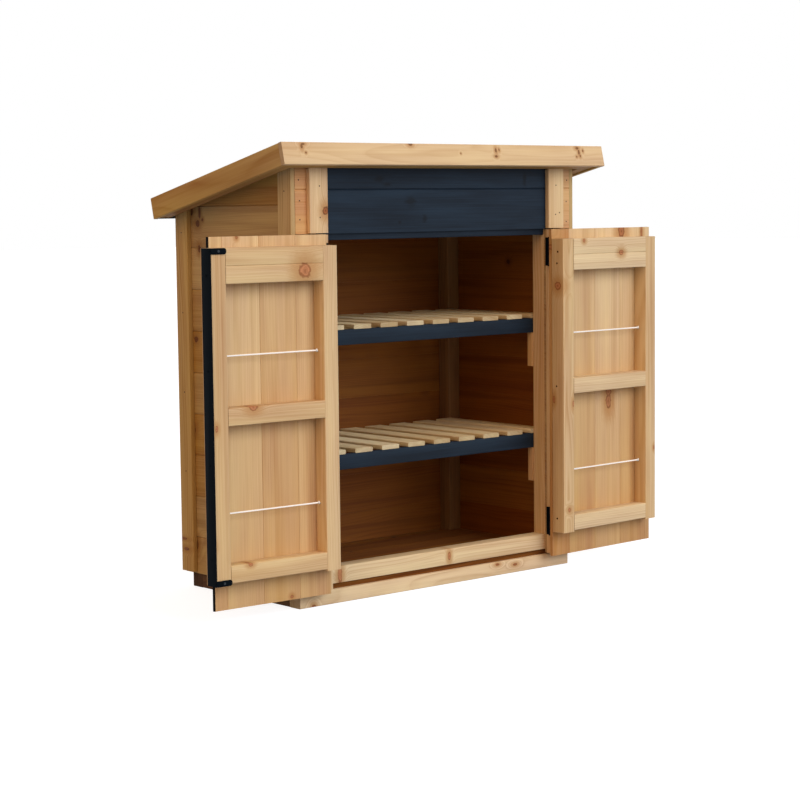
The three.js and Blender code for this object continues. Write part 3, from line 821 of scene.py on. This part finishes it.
def wrap_uv(piece, start, way, radius):
    """Maps a straight cord by length along it and by distance round it, in metres."""
    wrap = piece.data.uv_layers.new(name="UVMap")
    side = way.cross(Vector((0, 0, 1))).normalized()
    for loop in piece.data.loops:
        off = piece.data.vertices[loop.vertex_index].co - start
        wrap.data[loop.index].uv = (off.dot(way), math.atan2(off.z, off.dot(side)) * radius)


def add_ring(middle, major, minor, turned):
    deselect()
    bpy.ops.mesh.primitive_torus_add(location=middle, rotation=turned, major_segments=28, minor_segments=10,
                                     major_radius=major, minor_radius=minor)
    return settle()


def add_rod(first, last, radius, sides=20):
    """A cylinder from one point to another."""
    first, last = Vector(first), Vector(last)
    way = last - first
    deselect()
    bpy.ops.mesh.primitive_cylinder_add(vertices=sides, radius=radius, depth=way.length,
                                        location=(first + last) / 2,
                                        rotation=way.to_track_quat("Z", "Y").to_euler())
    return settle()


def hang_cords(name):
    """Two elastics across the door, each tied off behind a zinc screw eye in the stile."""
    door = DOORS[name]
    side, ride = door["side"], door["ride"]
    near = door["edge"] + STOCK
    far = door["edge"] + door["frame"] - STOCK
    run = far - near - 2 * CORD_INSET
    for level, height in CORD_HEIGHTS.items():

        def spot(reach, drop=0):
            return Vector((side * reach, -CORD_DEPTH, height - drop))

        points = [spot(near + CORD_INSET + run * step / CORD_STEPS) for step in range(CORD_STEPS + 1)]
        cord = lay_tube(points, CORD_THICK / 2)
        wrap_uv(cord, points[0], Vector((side, 0, 0)), CORD_THICK / 2)
        cord = finish_piece(f"{name}_{level}_elastic", [cord], elastic, "elastic",
                            [f"{name}_door_{level}_cord"], angle=60, **ride)
        eyes, knots = [], []
        for wall, way in ((near, 1), (far, -1)):
            eye_at = spot(wall + way * EYE_OUT)
            eyes.append(add_ring(eye_at, EYE_RADIUS, EYE_WIRE, (0, math.radians(90), 0)))
            shank = spot(wall - way * SHANK_SUNK, EYE_RADIUS)
            eyes.append(add_rod(shank, eye_at - Vector((0, 0, SHANK_DROP)), SHANK_RADIUS, 12))
            tail = [spot(wall + way * KNOT_OUT)]
            lean = (0, math.radians(90 - way * 25), math.radians(20))
            knots.append(add_ring(tail[0], KNOT_LOOP, KNOT_CORD, lean))
            for along, out, up in TAIL_STEPS:
                tail.append(tail[-1] + Vector((side * way * along, out, up)))
            knots.append(lay_tube(tail, TAIL_RADIUS))
        tied = finish_piece(f"{name}_{level}_elastic_knots", knots, elastic, "elastic", angle=60, **ride)
        finish_piece(f"{name}_{level}_screw_eyes", eyes, zinc, "black_steel", angle=60, **ride)


for name in DOORS:
    hang_cords(name)


# Cabinet: plinth, floor, posts, rails, trims, walls and shelves


def plain_timber(node, material, slot="board_pine", along="x", rise=None, tone=None, arris=ARRIS):
    """One planed timber in the place of one solid."""
    low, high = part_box(node)
    if rise is not None:
        high = high + Vector((0, 0, CUT_SPARE))
    part = plane_timber(low, high, along, node, rise=rise, arris=arris, tone=tone)
    finish_piece(node + "_timber", [part], material, slot, [node])


def build_plinth():
    """The closed frame behind the plinth's front timber."""
    low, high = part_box("plinth_back_and_sides")
    parts = [plane_timber((low.x, high.y - STOCK, low.z), high, "x", "plinth back")]
    for start in (low.x, high.x - STOCK):
        stop = (start + STOCK, high.y - STOCK - SEAT, high.z)
        parts.append(plane_timber((start, low.y, low.z), stop, "y", f"plinth side {start:.2f}"))
    finish_piece("plinth_frame", parts, sawn_pine_deep_painted_shade, "framing_pine", ["plinth_back_and_sides"])


def build_floor():
    """Floor boards that run from side to side, and the bearer under their middle."""
    low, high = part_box("floor_boards")
    rows = board_spans(low.y, FLOOR_FRONT + BOARD_COVER, high.y)
    parts = []
    for index, (start, stop) in enumerate(rows):
        board = tongued_board((low.x, start, PLINTH_HEIGHT), (high.x, stop, high.z), "x", "y", (1,),
                              FLOOR_JOINT, (index > 0, index < len(rows) - 1))
        set_grain(board, "x", f"floor {index}", across=("y", "z"), tone=0.1)
        parts.append(board)
    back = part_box("plinth_back_and_sides")[1].y - STOCK - SEAT
    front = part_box("plinth_front")[1].y + SEAT
    parts.append(plane_timber((-STOCK / 2, front, 0), (STOCK / 2, back, PLINTH_HEIGHT), "y", "floor bearer"))
    finish_piece("floor_boarding", parts, sawn_pine_painted_shade, "board_pine", ["floor_boards"])


def build_posts(name, side):
    """Two square posts side by side, and the cleats behind them that carry the shelves."""
    node = f"front_{name}_posts"
    low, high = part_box(node)
    post_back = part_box("bottom_rail")[1].y
    parts = []
    for index in range(2):
        first, last = span(side, OPENING_HALF + STOCK * index, OPENING_HALF + STOCK * (index + 1) - SEAT)
        parts.append(plane_timber((first, low.y, low.z), (last, post_back, high.z + CUT_SPARE), "z",
                                  f"{node} {index}", rise=FRAME_RISE, tone=0.35 + 0.2 * index))
    for level in LEVELS:
        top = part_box(f"{level}_shelf_rail")[0].z - SEAT
        first, last = span(side, OPENING_HALF - CLEAT_SHOW, OPENING_HALF - CLEAT_SHOW + STOCK)
        parts.append(plane_timber((first, post_back, top - CLEAT_LENGTH), (last, high.y, top), "z",
                                  f"{node} {level} cleat", tone=0.0))
    finish_piece(f"{name}_posts", parts, trim_pine, "board_pine", [node])


def build_jamb(name, side):
    """The board beside the door opening, on the ends of the cladding, which show as end grain."""
    node = f"{name}_jamb_board"
    low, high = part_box(node)
    face_back = low.y + JAMB_THICK
    face = plane_timber(low, (high.x, face_back, high.z), "z", node, tone=0.6)
    outer = high.x if side > 0 else -low.x
    first, last = span(side, OPENING_HALF + PACKING_INSET, outer)
    packing = start_block((first, face_back + SEAT, low.z), (last, high.y, high.z))
    set_grain(packing, "x", node + " packing", tone=0.1)
    finish_piece(f"{name}_jamb", [face, packing], trim_pine, "board_pine", [node])


def board_wall(node, facing, first_joint, material, slot="board_pine", tone=None):
    """A wall of level tongued and grooved boards, its top cut to the slope of the roof."""
    low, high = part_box(node)
    along = "x" if facing[1] == "y" else "y"
    outward = -1 if facing[0] == "-" else 1
    inward = Vector()
    inward[AXIS[facing[1]]] = -outward
    parts = []
    for index, (start, stop) in enumerate(board_spans(low.z, first_joint, high.z, trimmed=False)):
        board = tongued_board((low.x, low.y, start), (high.x, high.y, stop - BOARD_GAP), along, "z",
                              (outward,), WALL_JOINT, (index > 0, True))
        if stop > high.z - SLOPE_REACH:
            cut_under_roof(board, DECK_RISE)
        if len(board.data.vertices) == 0:
            bpy.data.objects.remove(board)
            continue
        set_grain(board, along, f"{node} {index}", tone=tone, inward=inward)
        parts.append(board)
    finish_piece(node + "_boarding", parts, material, slot, [node])


def build_shelf(level):
    """Ten slats from front to back, on the painted rail and on a bearer behind."""
    node = f"{level}_shelf_slats"
    low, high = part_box(node)
    bearer_top = high.z - SLAT_THICK
    parts = [plane_timber((low.x, high.y - BEARER_DEEP, low.z), (high.x, high.y, bearer_top), "x",
                          f"{level} bearer")]
    for index in range(SLATS):
        middle = (index - (SLATS - 1) / 2) * SLAT_PITCH
        parts.append(plane_timber((middle - SLAT_HALF, low.y, bearer_top),
                                  (middle + SLAT_HALF, high.y, high.z), "y", f"{level} slat {index}"))
    finish_piece(f"{level}_shelf", parts, slat_pine, "slat_pine", [node])


plain_timber("plinth_front", trim_pine, "framing_pine", tone=1.0)
plain_timber("bottom_rail", frame_pine, "framing_pine", tone=0.8)
for node in ("header_rail", "lower_shelf_rail", "upper_shelf_rail"):
    plain_timber(node, navy, "navy_timber")
build_plinth()
build_floor()
for name, side in SIDES.items():
    plain_timber(f"{name}_batten", trim_pine, along="z", rise=FRAME_RISE, tone=0.7, arris=TRIM_ARRIS)
    for end, tone in (("front", 0.85), ("back", 0.35)):
        plain_timber(f"{end}_{name}_trim", side_pine_painted_shade, along="z", rise=DECK_RISE, tone=tone,
                     arris=TRIM_ARRIS)
    plain_timber(f"back_{name}_post", post_pine_painted_shade, along="z", rise=FRAME_RISE)
    build_posts(name, side)
    build_jamb(name, side)
for node, facing in (("left_side_boards", "-x"), ("right_side_boards", "+x"), ("back_boards", "+y")):
    board_wall(node, facing, SIDE_FIRST_JOINT, wall_pine_painted_shade)
board_wall("front_boards_left", "-y", FRONT_FIRST_JOINT, front_pine, tone=0.15)
board_wall("front_boards_right", "-y", FRONT_FIRST_JOINT, front_pine, tone=0.35)
board_wall("front_panel", "-y", FRONT_FIRST_JOINT, navy, "navy_timber")
for level in LEVELS:
    build_shelf(level)


# Roof, built level at its own foot and then tipped to the slope


def up_slope(plan, rise=0):
    """How far up the slope a thing lies that is this far behind the fascia in plan and this high."""
    return (plan - rise * math.sin(SLOPE)) / math.cos(SLOPE)


def finish_roof(name, parts, material, slot, node):
    """Tips a piece of the roof to the slope and finishes it."""
    finish_piece(name, parts, material, slot, [node], place=ROOF_PLACE)


def build_roof_edges():
    """The fascia, and a bargeboard behind each of its ends."""
    fascia = plane_timber((-ROOF_HALF, 0, 0), (ROOF_HALF, FASCIA_THICK, ROOF_THICK), "x", "fascia", tone=0.7)
    finish_roof("fascia_board", [fascia], fascia_pine, "framing_pine", "roof_fascia")
    for name, side in SIDES.items():
        first, last = span(side, ROOF_HALF, DECK_HALF)
        board = plane_timber((first, ROOF_FRONT, 0), (last, ROOF_LENGTH, ROOF_THICK), "y", f"{name} barge",
                             tone=(0.4, 0.0))
        finish_roof(f"{name}_barge_board", [board], side_pine_painted_shade, "framing_pine", f"{name}_bargeboard")


def build_roof_frames():
    """The timbers at the eaves, and the ring of timber on top of the posts."""

    def bar(first, last, start, stop, along, name):
        return plane_timber((first, start, FRAME_RISE), (last, stop, DECK_RISE - SEAT), along, name)

    eaves_back = up_slope(ROOF_OVERHANG - SEAT, DECK_RISE)
    wall = WALLS_INSIDE - SEAT
    ring_front = up_slope(ROOF_OVERHANG + WALL_THICK + SEAT)
    ring_back = up_slope(ROOF_OVERHANG + BODY_DEPTH - WALL_THICK - SEAT, DECK_RISE)
    eaves = [bar(-ROOF_EDGE, ROOF_EDGE, ROOF_FRONT, eaves_back, "x", "eaves front")]
    ring = [bar(-wall, wall, ring_front, ring_front + STOCK, "x", "top front"),
            bar(-wall, wall, ring_back - STOCK, ring_back, "x", "top back")]
    for side in SIDES.values():
        eaves.append(bar(*span(side, ROOF_EDGE, DECK_HALF - STOCK), eaves_back, ROOF_LENGTH, "y",
                         f"eaves {side}"))
        ring.append(bar(*span(side, wall, WALLS_INSIDE - STOCK), ring_front + STOCK, ring_back - STOCK, "y",
                        f"top side {side}"))
    finish_roof("eaves_timbers", eaves, wall_pine_painted_shade, "board_pine", "roof_eaves_frame")
    finish_roof("top_timbers", ring, wall_pine_painted_shade, "board_pine", "top_frame")


def build_deck():
    """Roof boards from side to side, with their V joints on the underside."""
    rows = board_spans(ROOF_FRONT, FASCIA_THICK + BOARD_COVER, ROOF_LENGTH)
    deck = []
    for index, (start, stop) in enumerate(rows):
        low, high = (-ROOF_EDGE, start, DECK_RISE), (ROOF_EDGE, stop - BOARD_GAP, FELT_RISE - SEAT)
        board = tongued_board(low, high, "x", "y", (-1,), WALL_JOINT, (index > 0, index < len(rows) - 1))
        set_grain(board, "x", f"deck {index}", across=("y", "z"))
        deck.append(board)
    finish_roof("roof_deck", deck, wall_pine_painted_shade, "board_pine", "roof_boards")


def lay_felt():
    """The felt, turned down over the back edge and nailed there, to drip clear of the wall."""
    sheet = start_block((-ROOF_EDGE, ROOF_FRONT, FELT_RISE), (ROOF_EDGE, ROOF_LENGTH + SEAT, ROOF_THICK))
    edit(sheet)
    choose("FACE", lambda middle, normal: normal.y > 0.99)
    extrude((0, ROOF_THICK - FELT_RISE, 0))
    choose("FACE", lambda middle, normal: normal.z < -0.99 and middle.y > ROOF_LENGTH)
    extrude((0, 0, FELT_DRIP - FELT_RISE))
    bevel(lambda middle, way: abs(way.x) > 0.9 and middle.z > FELT_RISE + SEAT and middle.y > ROOF_LENGTH,
          FELT_BEND, 3)
    leave()
    finish_roof("felt_sheet", [sheet], felt, "roof_felt", "roof_felt")


build_roof_edges()
build_roof_frames()
build_deck()
lay_felt()


# Doors, each built about its hinge pin and then turned back


def build_skin(name):
    """Upright tongued and grooved boards with a V joint on both faces."""
    door = DOORS[name]
    side, edge = door["side"], door["edge"]
    rows = board_spans(edge, edge + door["joint"], edge + door["skin"], SKIN_COVER)
    boards = []
    for index, (start, stop) in enumerate(rows):
        first, last = span(side, start, stop - BOARD_GAP)
        ends = (index > 0, index < len(rows) - 1)[::side]
        board = tongued_board((first, -SKIN_FACE, SKIN_LOW), (last, -SKIN_BACK, SKIN_HIGH), "z", "x",
                              (-1, 1), SKIN_JOINT, ends)
        set_grain(board, "z", f"{name} skin {index}", tone=door["tones"][index])
        boards.append(board)
    finish_piece(f"{name}_skin", boards, skin_pine, "board_pine", [f"{name}_door_skin"], **door["ride"])


def build_frame(name):
    """Stiles, a doubled top rail, and the two rails that books stand on."""
    door = DOORS[name]
    edge, free = door["edge"], door["edge"] + door["frame"]

    def timber(start, stop, low, high, along, label, tone):
        first, last = span(door["side"], start, stop)
        return plane_timber((first, -FRAME_FRONT, low), (last, -FRAME_BACK, high), along,
                            f"{name} {label}", tone=tone)

    def rail(low, label, tone):
        return timber(edge + STOCK + SEAT, free - STOCK - SEAT, low, low + STOCK, "x", f"{label} rail", tone)

    def finish(label, parts, node):
        finish_piece(f"{name}_{label}", parts, frame_pine, "framing_pine", [f"{name}_door_{node}"],
                     **door["ride"])

    for label, start, tone in zip(("hinge", "free"), (edge, free - STOCK), door["stile_tones"]):
        stile = timber(start, start + STOCK, FRAME_LOW, FRAME_HIGH, "z", label, tone)
        finish(f"{label}_stile", [stile], f"{label}_stile")
    upper, second, lower = door["rail_tones"]
    top = [rail(FRAME_HIGH - STOCK, "first", upper), rail(FRAME_HIGH - 2 * STOCK, "second", second)]
    finish("top_rails", top, "top_rail")
    for label, low in RAIL_LOWS.items():
        finish(f"{label}_rail", [rail(low, label, lower)], f"{label}_rail")


for name in DOORS:
    build_skin(name)
    build_frame(name)


# Hinges: pressed steel butts with five knuckles on one pin


def add_plate(low, high, radius, through):
    """A flat plate with rounded corners and its sharp edges taken off."""
    plate = start_block(low, high)
    thin = AXIS[through]
    edit(plate)
    bevel(lambda middle, way: abs(way[thin]) > 0.9, radius, 4)
    bevel(lambda middle, way: abs(way[thin]) < 0.1, PLATE_ARRIS, 2)
    leave()
    return plate


def add_screw(head_at, way, radius=0.0032):
    """A countersunk screw, its head just proud of the plate and its recess sunk."""
    way = Vector(way)
    head = add_rod(head_at - way * SCREW_SUNK, head_at + way * SCREW_PROUD, radius, 24)
    edit(head)
    choose("FACE", lambda middle, normal: normal.dot(way) > 0.99)
    for share, rise in SCREW_STEPS:
        inset(radius * share)
        extrude(way * rise)
    leave()
    return head


def build_hinge(name, level, moving):
    """One leaf with its knuckles: two on the door, or three and the pin on the cabinet."""
    door = DOORS[name]
    side = door["side"]
    low = HINGE_LOWS[level]
    foot, head = low + END_GAP, low + HINGE_HEIGHT - END_GAP
    pitch = HINGE_HEIGHT / KNUCKLES
    turned = -1 if moving else 1
    inner = turned * LEAF_INNER
    back, face = sorted((inner, turned * KNUCKLE_RADIUS))
    reach = (door["edge"] if moving else 0) + LEAF_WIDTH
    parts = []
    for index in range(int(moving), KNUCKLES, 2):
        bottom, top = low + index * pitch + END_GAP, low + (index + 1) * pitch - END_GAP
        knuckle = add_rod((0, 0, bottom), (0, 0, top), KNUCKLE_RADIUS, 28)
        parts.append(round_edges(knuckle, is_level, KNUCKLE_ARRIS, 2))
        first, last = span(side, ROLL_START, LEAF_START + ROLL_LAP)
        parts.append(start_block((first, back, bottom), (last, face, top)))
    first, last = span(side, LEAF_START, reach)
    parts.append(add_plate((first, back, foot), (last, face, head), LEAF_CORNER, "y"))
    jamb = side * (side * (OPENING_HALF - SEAT) - door["pin"])
    if not moving and jamb > LEAF_START:
        # This pin stands over the opening, so its fixed leaf is bent round the edge of the jamb board
        first, last = span(side, jamb, jamb - RETURN_THICK)
        parts.append(add_plate((first, inner, foot), (last, inner + LEAF_RETURN, head), LEAF_CORNER, "x"))
    if not moving:
        pin = add_rod((0, 0, low - PIN_PROUD), (0, 0, low + HINGE_HEIGHT + PIN_PROUD), PIN_RADIUS, 24)
        parts.append(round_edges(pin, is_level, PIN_ARRIS, 3))
    for share in HINGE_SCREWS:
        spot = Vector((side * (reach - HINGE_SCREW_INSET), inner, low + HINGE_HEIGHT * share))
        parts.append(add_screw(spot, (0, -turned, 0)))
    if moving:
        finish_piece(f"{name}_{level}_door_leaf", parts, black_steel, "black_steel",
                     [f"{name}_door_{level}_hinge_leaf"], **door["ride"])
    else:
        finish_piece(f"{name}_{level}_jamb_leaf", parts, black_steel, "black_steel",
                     [f"{name}_{level}_hinge_leaf"], place=Matrix.Translation((door["pin"], PIN_Y, 0)))


for name in DOORS:
    for level in HINGE_LOWS:
        for moving in (False, True):
            build_hinge(name, level, moving)


# Left door's meeting edge


def build_meeting_bar():
    """A flat steel bar on the edge of the free stile, its ends turned over the front of the stile."""
    door = DOORS["left"]
    free = door["edge"] + door["frame"]
    back = -FRAME_FRONT - SEAT
    front = back - BAR_THICK
    first, last = span(-1, free + SEAT, free + BAR_THICK)
    parts = [add_plate((first, front, FRAME_LOW), (last, front + BAR_WIDTH, FRAME_HIGH), BAR_CORNER, "x")]
    screws = []
    for low in (FRAME_LOW, FRAME_HIGH - TAB_HEIGHT):
        high = low + TAB_HEIGHT
        first, last = span(-1, free - TAB_LENGTH, free + BAR_THICK)
        parts.append(add_plate((first, front, low), (last, back, high), TAB_CORNER, "y"))
        spot = Vector((-(free - TAB_SCREW_INSET), front, (low + high) / 2))
        screws.append(add_screw(spot, (0, -1, 0), TAB_SCREW_RADIUS))
    for share in BAR_SCREWS:
        height = FRAME_LOW + (FRAME_HIGH - FRAME_LOW) * share
        spot = Vector((-(free + BAR_THICK), front + BAR_WIDTH / 2, height))
        parts.append(add_screw(spot, (-1, 0, 0), BAR_SCREW_RADIUS))
    finish_piece("meeting_bar", parts, black_steel, "black_steel", ["left_door_meeting_bar"], **door["ride"])
    finish_piece("meeting_bar_screws", screws, worn_zinc, "black_steel", **door["ride"])


def build_edge_seal():
    """A rubber strip on the edge of the skin, with rounded lips."""
    door = DOORS["left"]
    start = door["edge"] + door["skin"]
    outer, last = span(-1, start + SEAT, start + SEAL_THICK)
    strip = start_block((outer, -SKIN_FACE, SKIN_LOW), (last, -SKIN_BACK, SKIN_HIGH))
    round_edges(strip, lambda middle, way: abs(way.z) > 0.9 and abs(middle.x - outer) < 1e-4, SEAL_LIP, 4)
    finish_piece("edge_seal", [strip], black_rubber, "edge_seal", ["left_door_edge_seal"], **door["ride"])


build_meeting_bar()
build_edge_seal()


# Nails and screws

BOARD_NAILS = ((-0.484, 1.106), (-0.4815, 1.053), (-0.481, 1.005), (0.486, 1.104), (0.484, 1.044),
               (0.484, 0.9875))
BATTEN_NAILS = ((-0.427, 1.090), (-0.426, 1.010), (0.429, 1.090), (0.4426, 1.013), (0.427, 1.008))
FRAME_SCREWS = ((0.0234, 0.904), (0.0202, 0.8715), (0.0175, 0.525), (0.018, 0.148))


def add_nail(spot, way, radius=0.0020):
    """The flat head of a nail, a little proud, with a rounded rim."""
    spot, way = Vector(spot), Vector(way)
    head = add_rod(spot - way * NAIL_SUNK, spot + way * NAIL_PROUD, radius, 14)
    return round_edges(head, lambda middle, run: abs(run.dot(way)) < 0.1 and (middle - spot).dot(way) > 0,
                       NAIL_ARRIS, 2)


def drive_nails():
    """Nails through the boards over the door opening, the battens and the corner trims."""
    heads = []
    for node, spots in (("front_boards_left", BOARD_NAILS), ("left_batten", BATTEN_NAILS)):
        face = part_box(node)[0].y
        heads += [add_nail((across, face, height), (0, -1, 0)) for across, height in spots]
    for name, side in SIDES.items():
        for end in ("front", "back"):
            low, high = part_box(f"{end}_{name}_trim")
            across = low.x if side < 0 else high.x
            step = (high.z - low.z - TRIM_NAIL_ENDS) / (TRIM_NAILS - 1)
            for index in range(TRIM_NAILS):
                height = low.z + TRIM_NAIL_FOOT + index * step
                heads.append(add_nail((across, (low.y + high.y) / 2, height), (side, 0, 0)))
    finish_piece("nail_heads", heads, dark_zinc, "black_steel")


def sink_screws():
    """The rust-stained screws in the hinge stile's side, which hold the rails."""
    for name, door in DOORS.items():
        side, heads = door["side"], []
        for depth, height in FRAME_SCREWS:
            spot = (side * door["edge"], -SKIN_FACE - depth, height)
            heads.append(add_nail(spot, (-side, 0, 0), 0.0028))
        finish_piece(f"{name}_frame_screws", heads, rusty_steel, "black_steel", **door["ride"])


drive_nails()
sink_screws()


# Floor, light and view


def seen_itself(node):
    """1 on a ray from the camera, a reflection or a clear thing, and 0 on one that only carries light."""
    path = node("ShaderNodeLightPath")
    seen = path["Is Camera Ray"]
    for ray in ("Is Glossy Ray", "Is Transmission Ray"):
        seen = node(MATH, {0: seen, 1: path[ray]}, operation="MAXIMUM")[0]
    return seen


def set_stage():
    """A pale floor under a white studio. It is lifted to white where it is seen, and keeps shadows."""
    deselect()
    bpy.ops.mesh.primitive_plane_add(size=80, location=(0, 0, -0.0005))
    ground = bpy.context.object
    ground.name = "ground"
    material, node, shader = new_material("pale_ground")
    lift = node(MATH, {0: seen_itself(node), 1: 0.86}, operation="MULTIPLY")[0]
    wire(shader, {"Base Color": linear("#A0A9BA"), "Roughness": 0.9, "Specular IOR Level": 0.1,
                  "Emission Color": linear("#FFFFFF"), "Emission Strength": lift})
    ground.data.materials.append(material)

    world = bpy.data.worlds.new("studio")
    world.use_nodes = True
    bpy.context.scene.world = world
    node = partial(add, world.node_tree)
    seen = seen_itself(node)
    strength = node(RANGE, {"Value": seen, "To Min": 0.20, "To Max": 1})[0]
    ends = {6: linear("#FFE2C4"), 7: linear("#FFFFFF")}
    colour = node(MIX, {0: seen, **ends}, data_type="RGBA")[2]
    wire(world.node_tree.nodes["Background"], {"Color": colour, "Strength": strength})


def hang_light(name, toward, strength, spread, colour):
    """A soft studio light so far off that it lights the object evenly; spread is its width in degrees."""
    data = bpy.data.lights.new(name, "SUN")
    data.energy = strength
    data.angle = math.radians(spread)
    data.color = linear(colour)[:3]
    lamp = bpy.data.objects.new(name, data)
    bpy.context.scene.collection.objects.link(lamp)
    lamp.location = Vector(toward) * 4
    lamp.rotation_euler = Vector(toward).to_track_quat("Z", "Y").to_euler()


set_stage()
hang_light("key_from_front", (0.20, -0.86, 0.46), 1.92, 46, "#FFFFFF")
hang_light("fill_from_left", (-0.72, -0.34, 0.50), 1.15, 56, "#FFC994")
hang_light("fill_from_behind", (0.62, 0.70, 0.36), 1.3, 70, "#FFEBD6")
bpy.context.scene.view_settings.view_transform = "Standard"
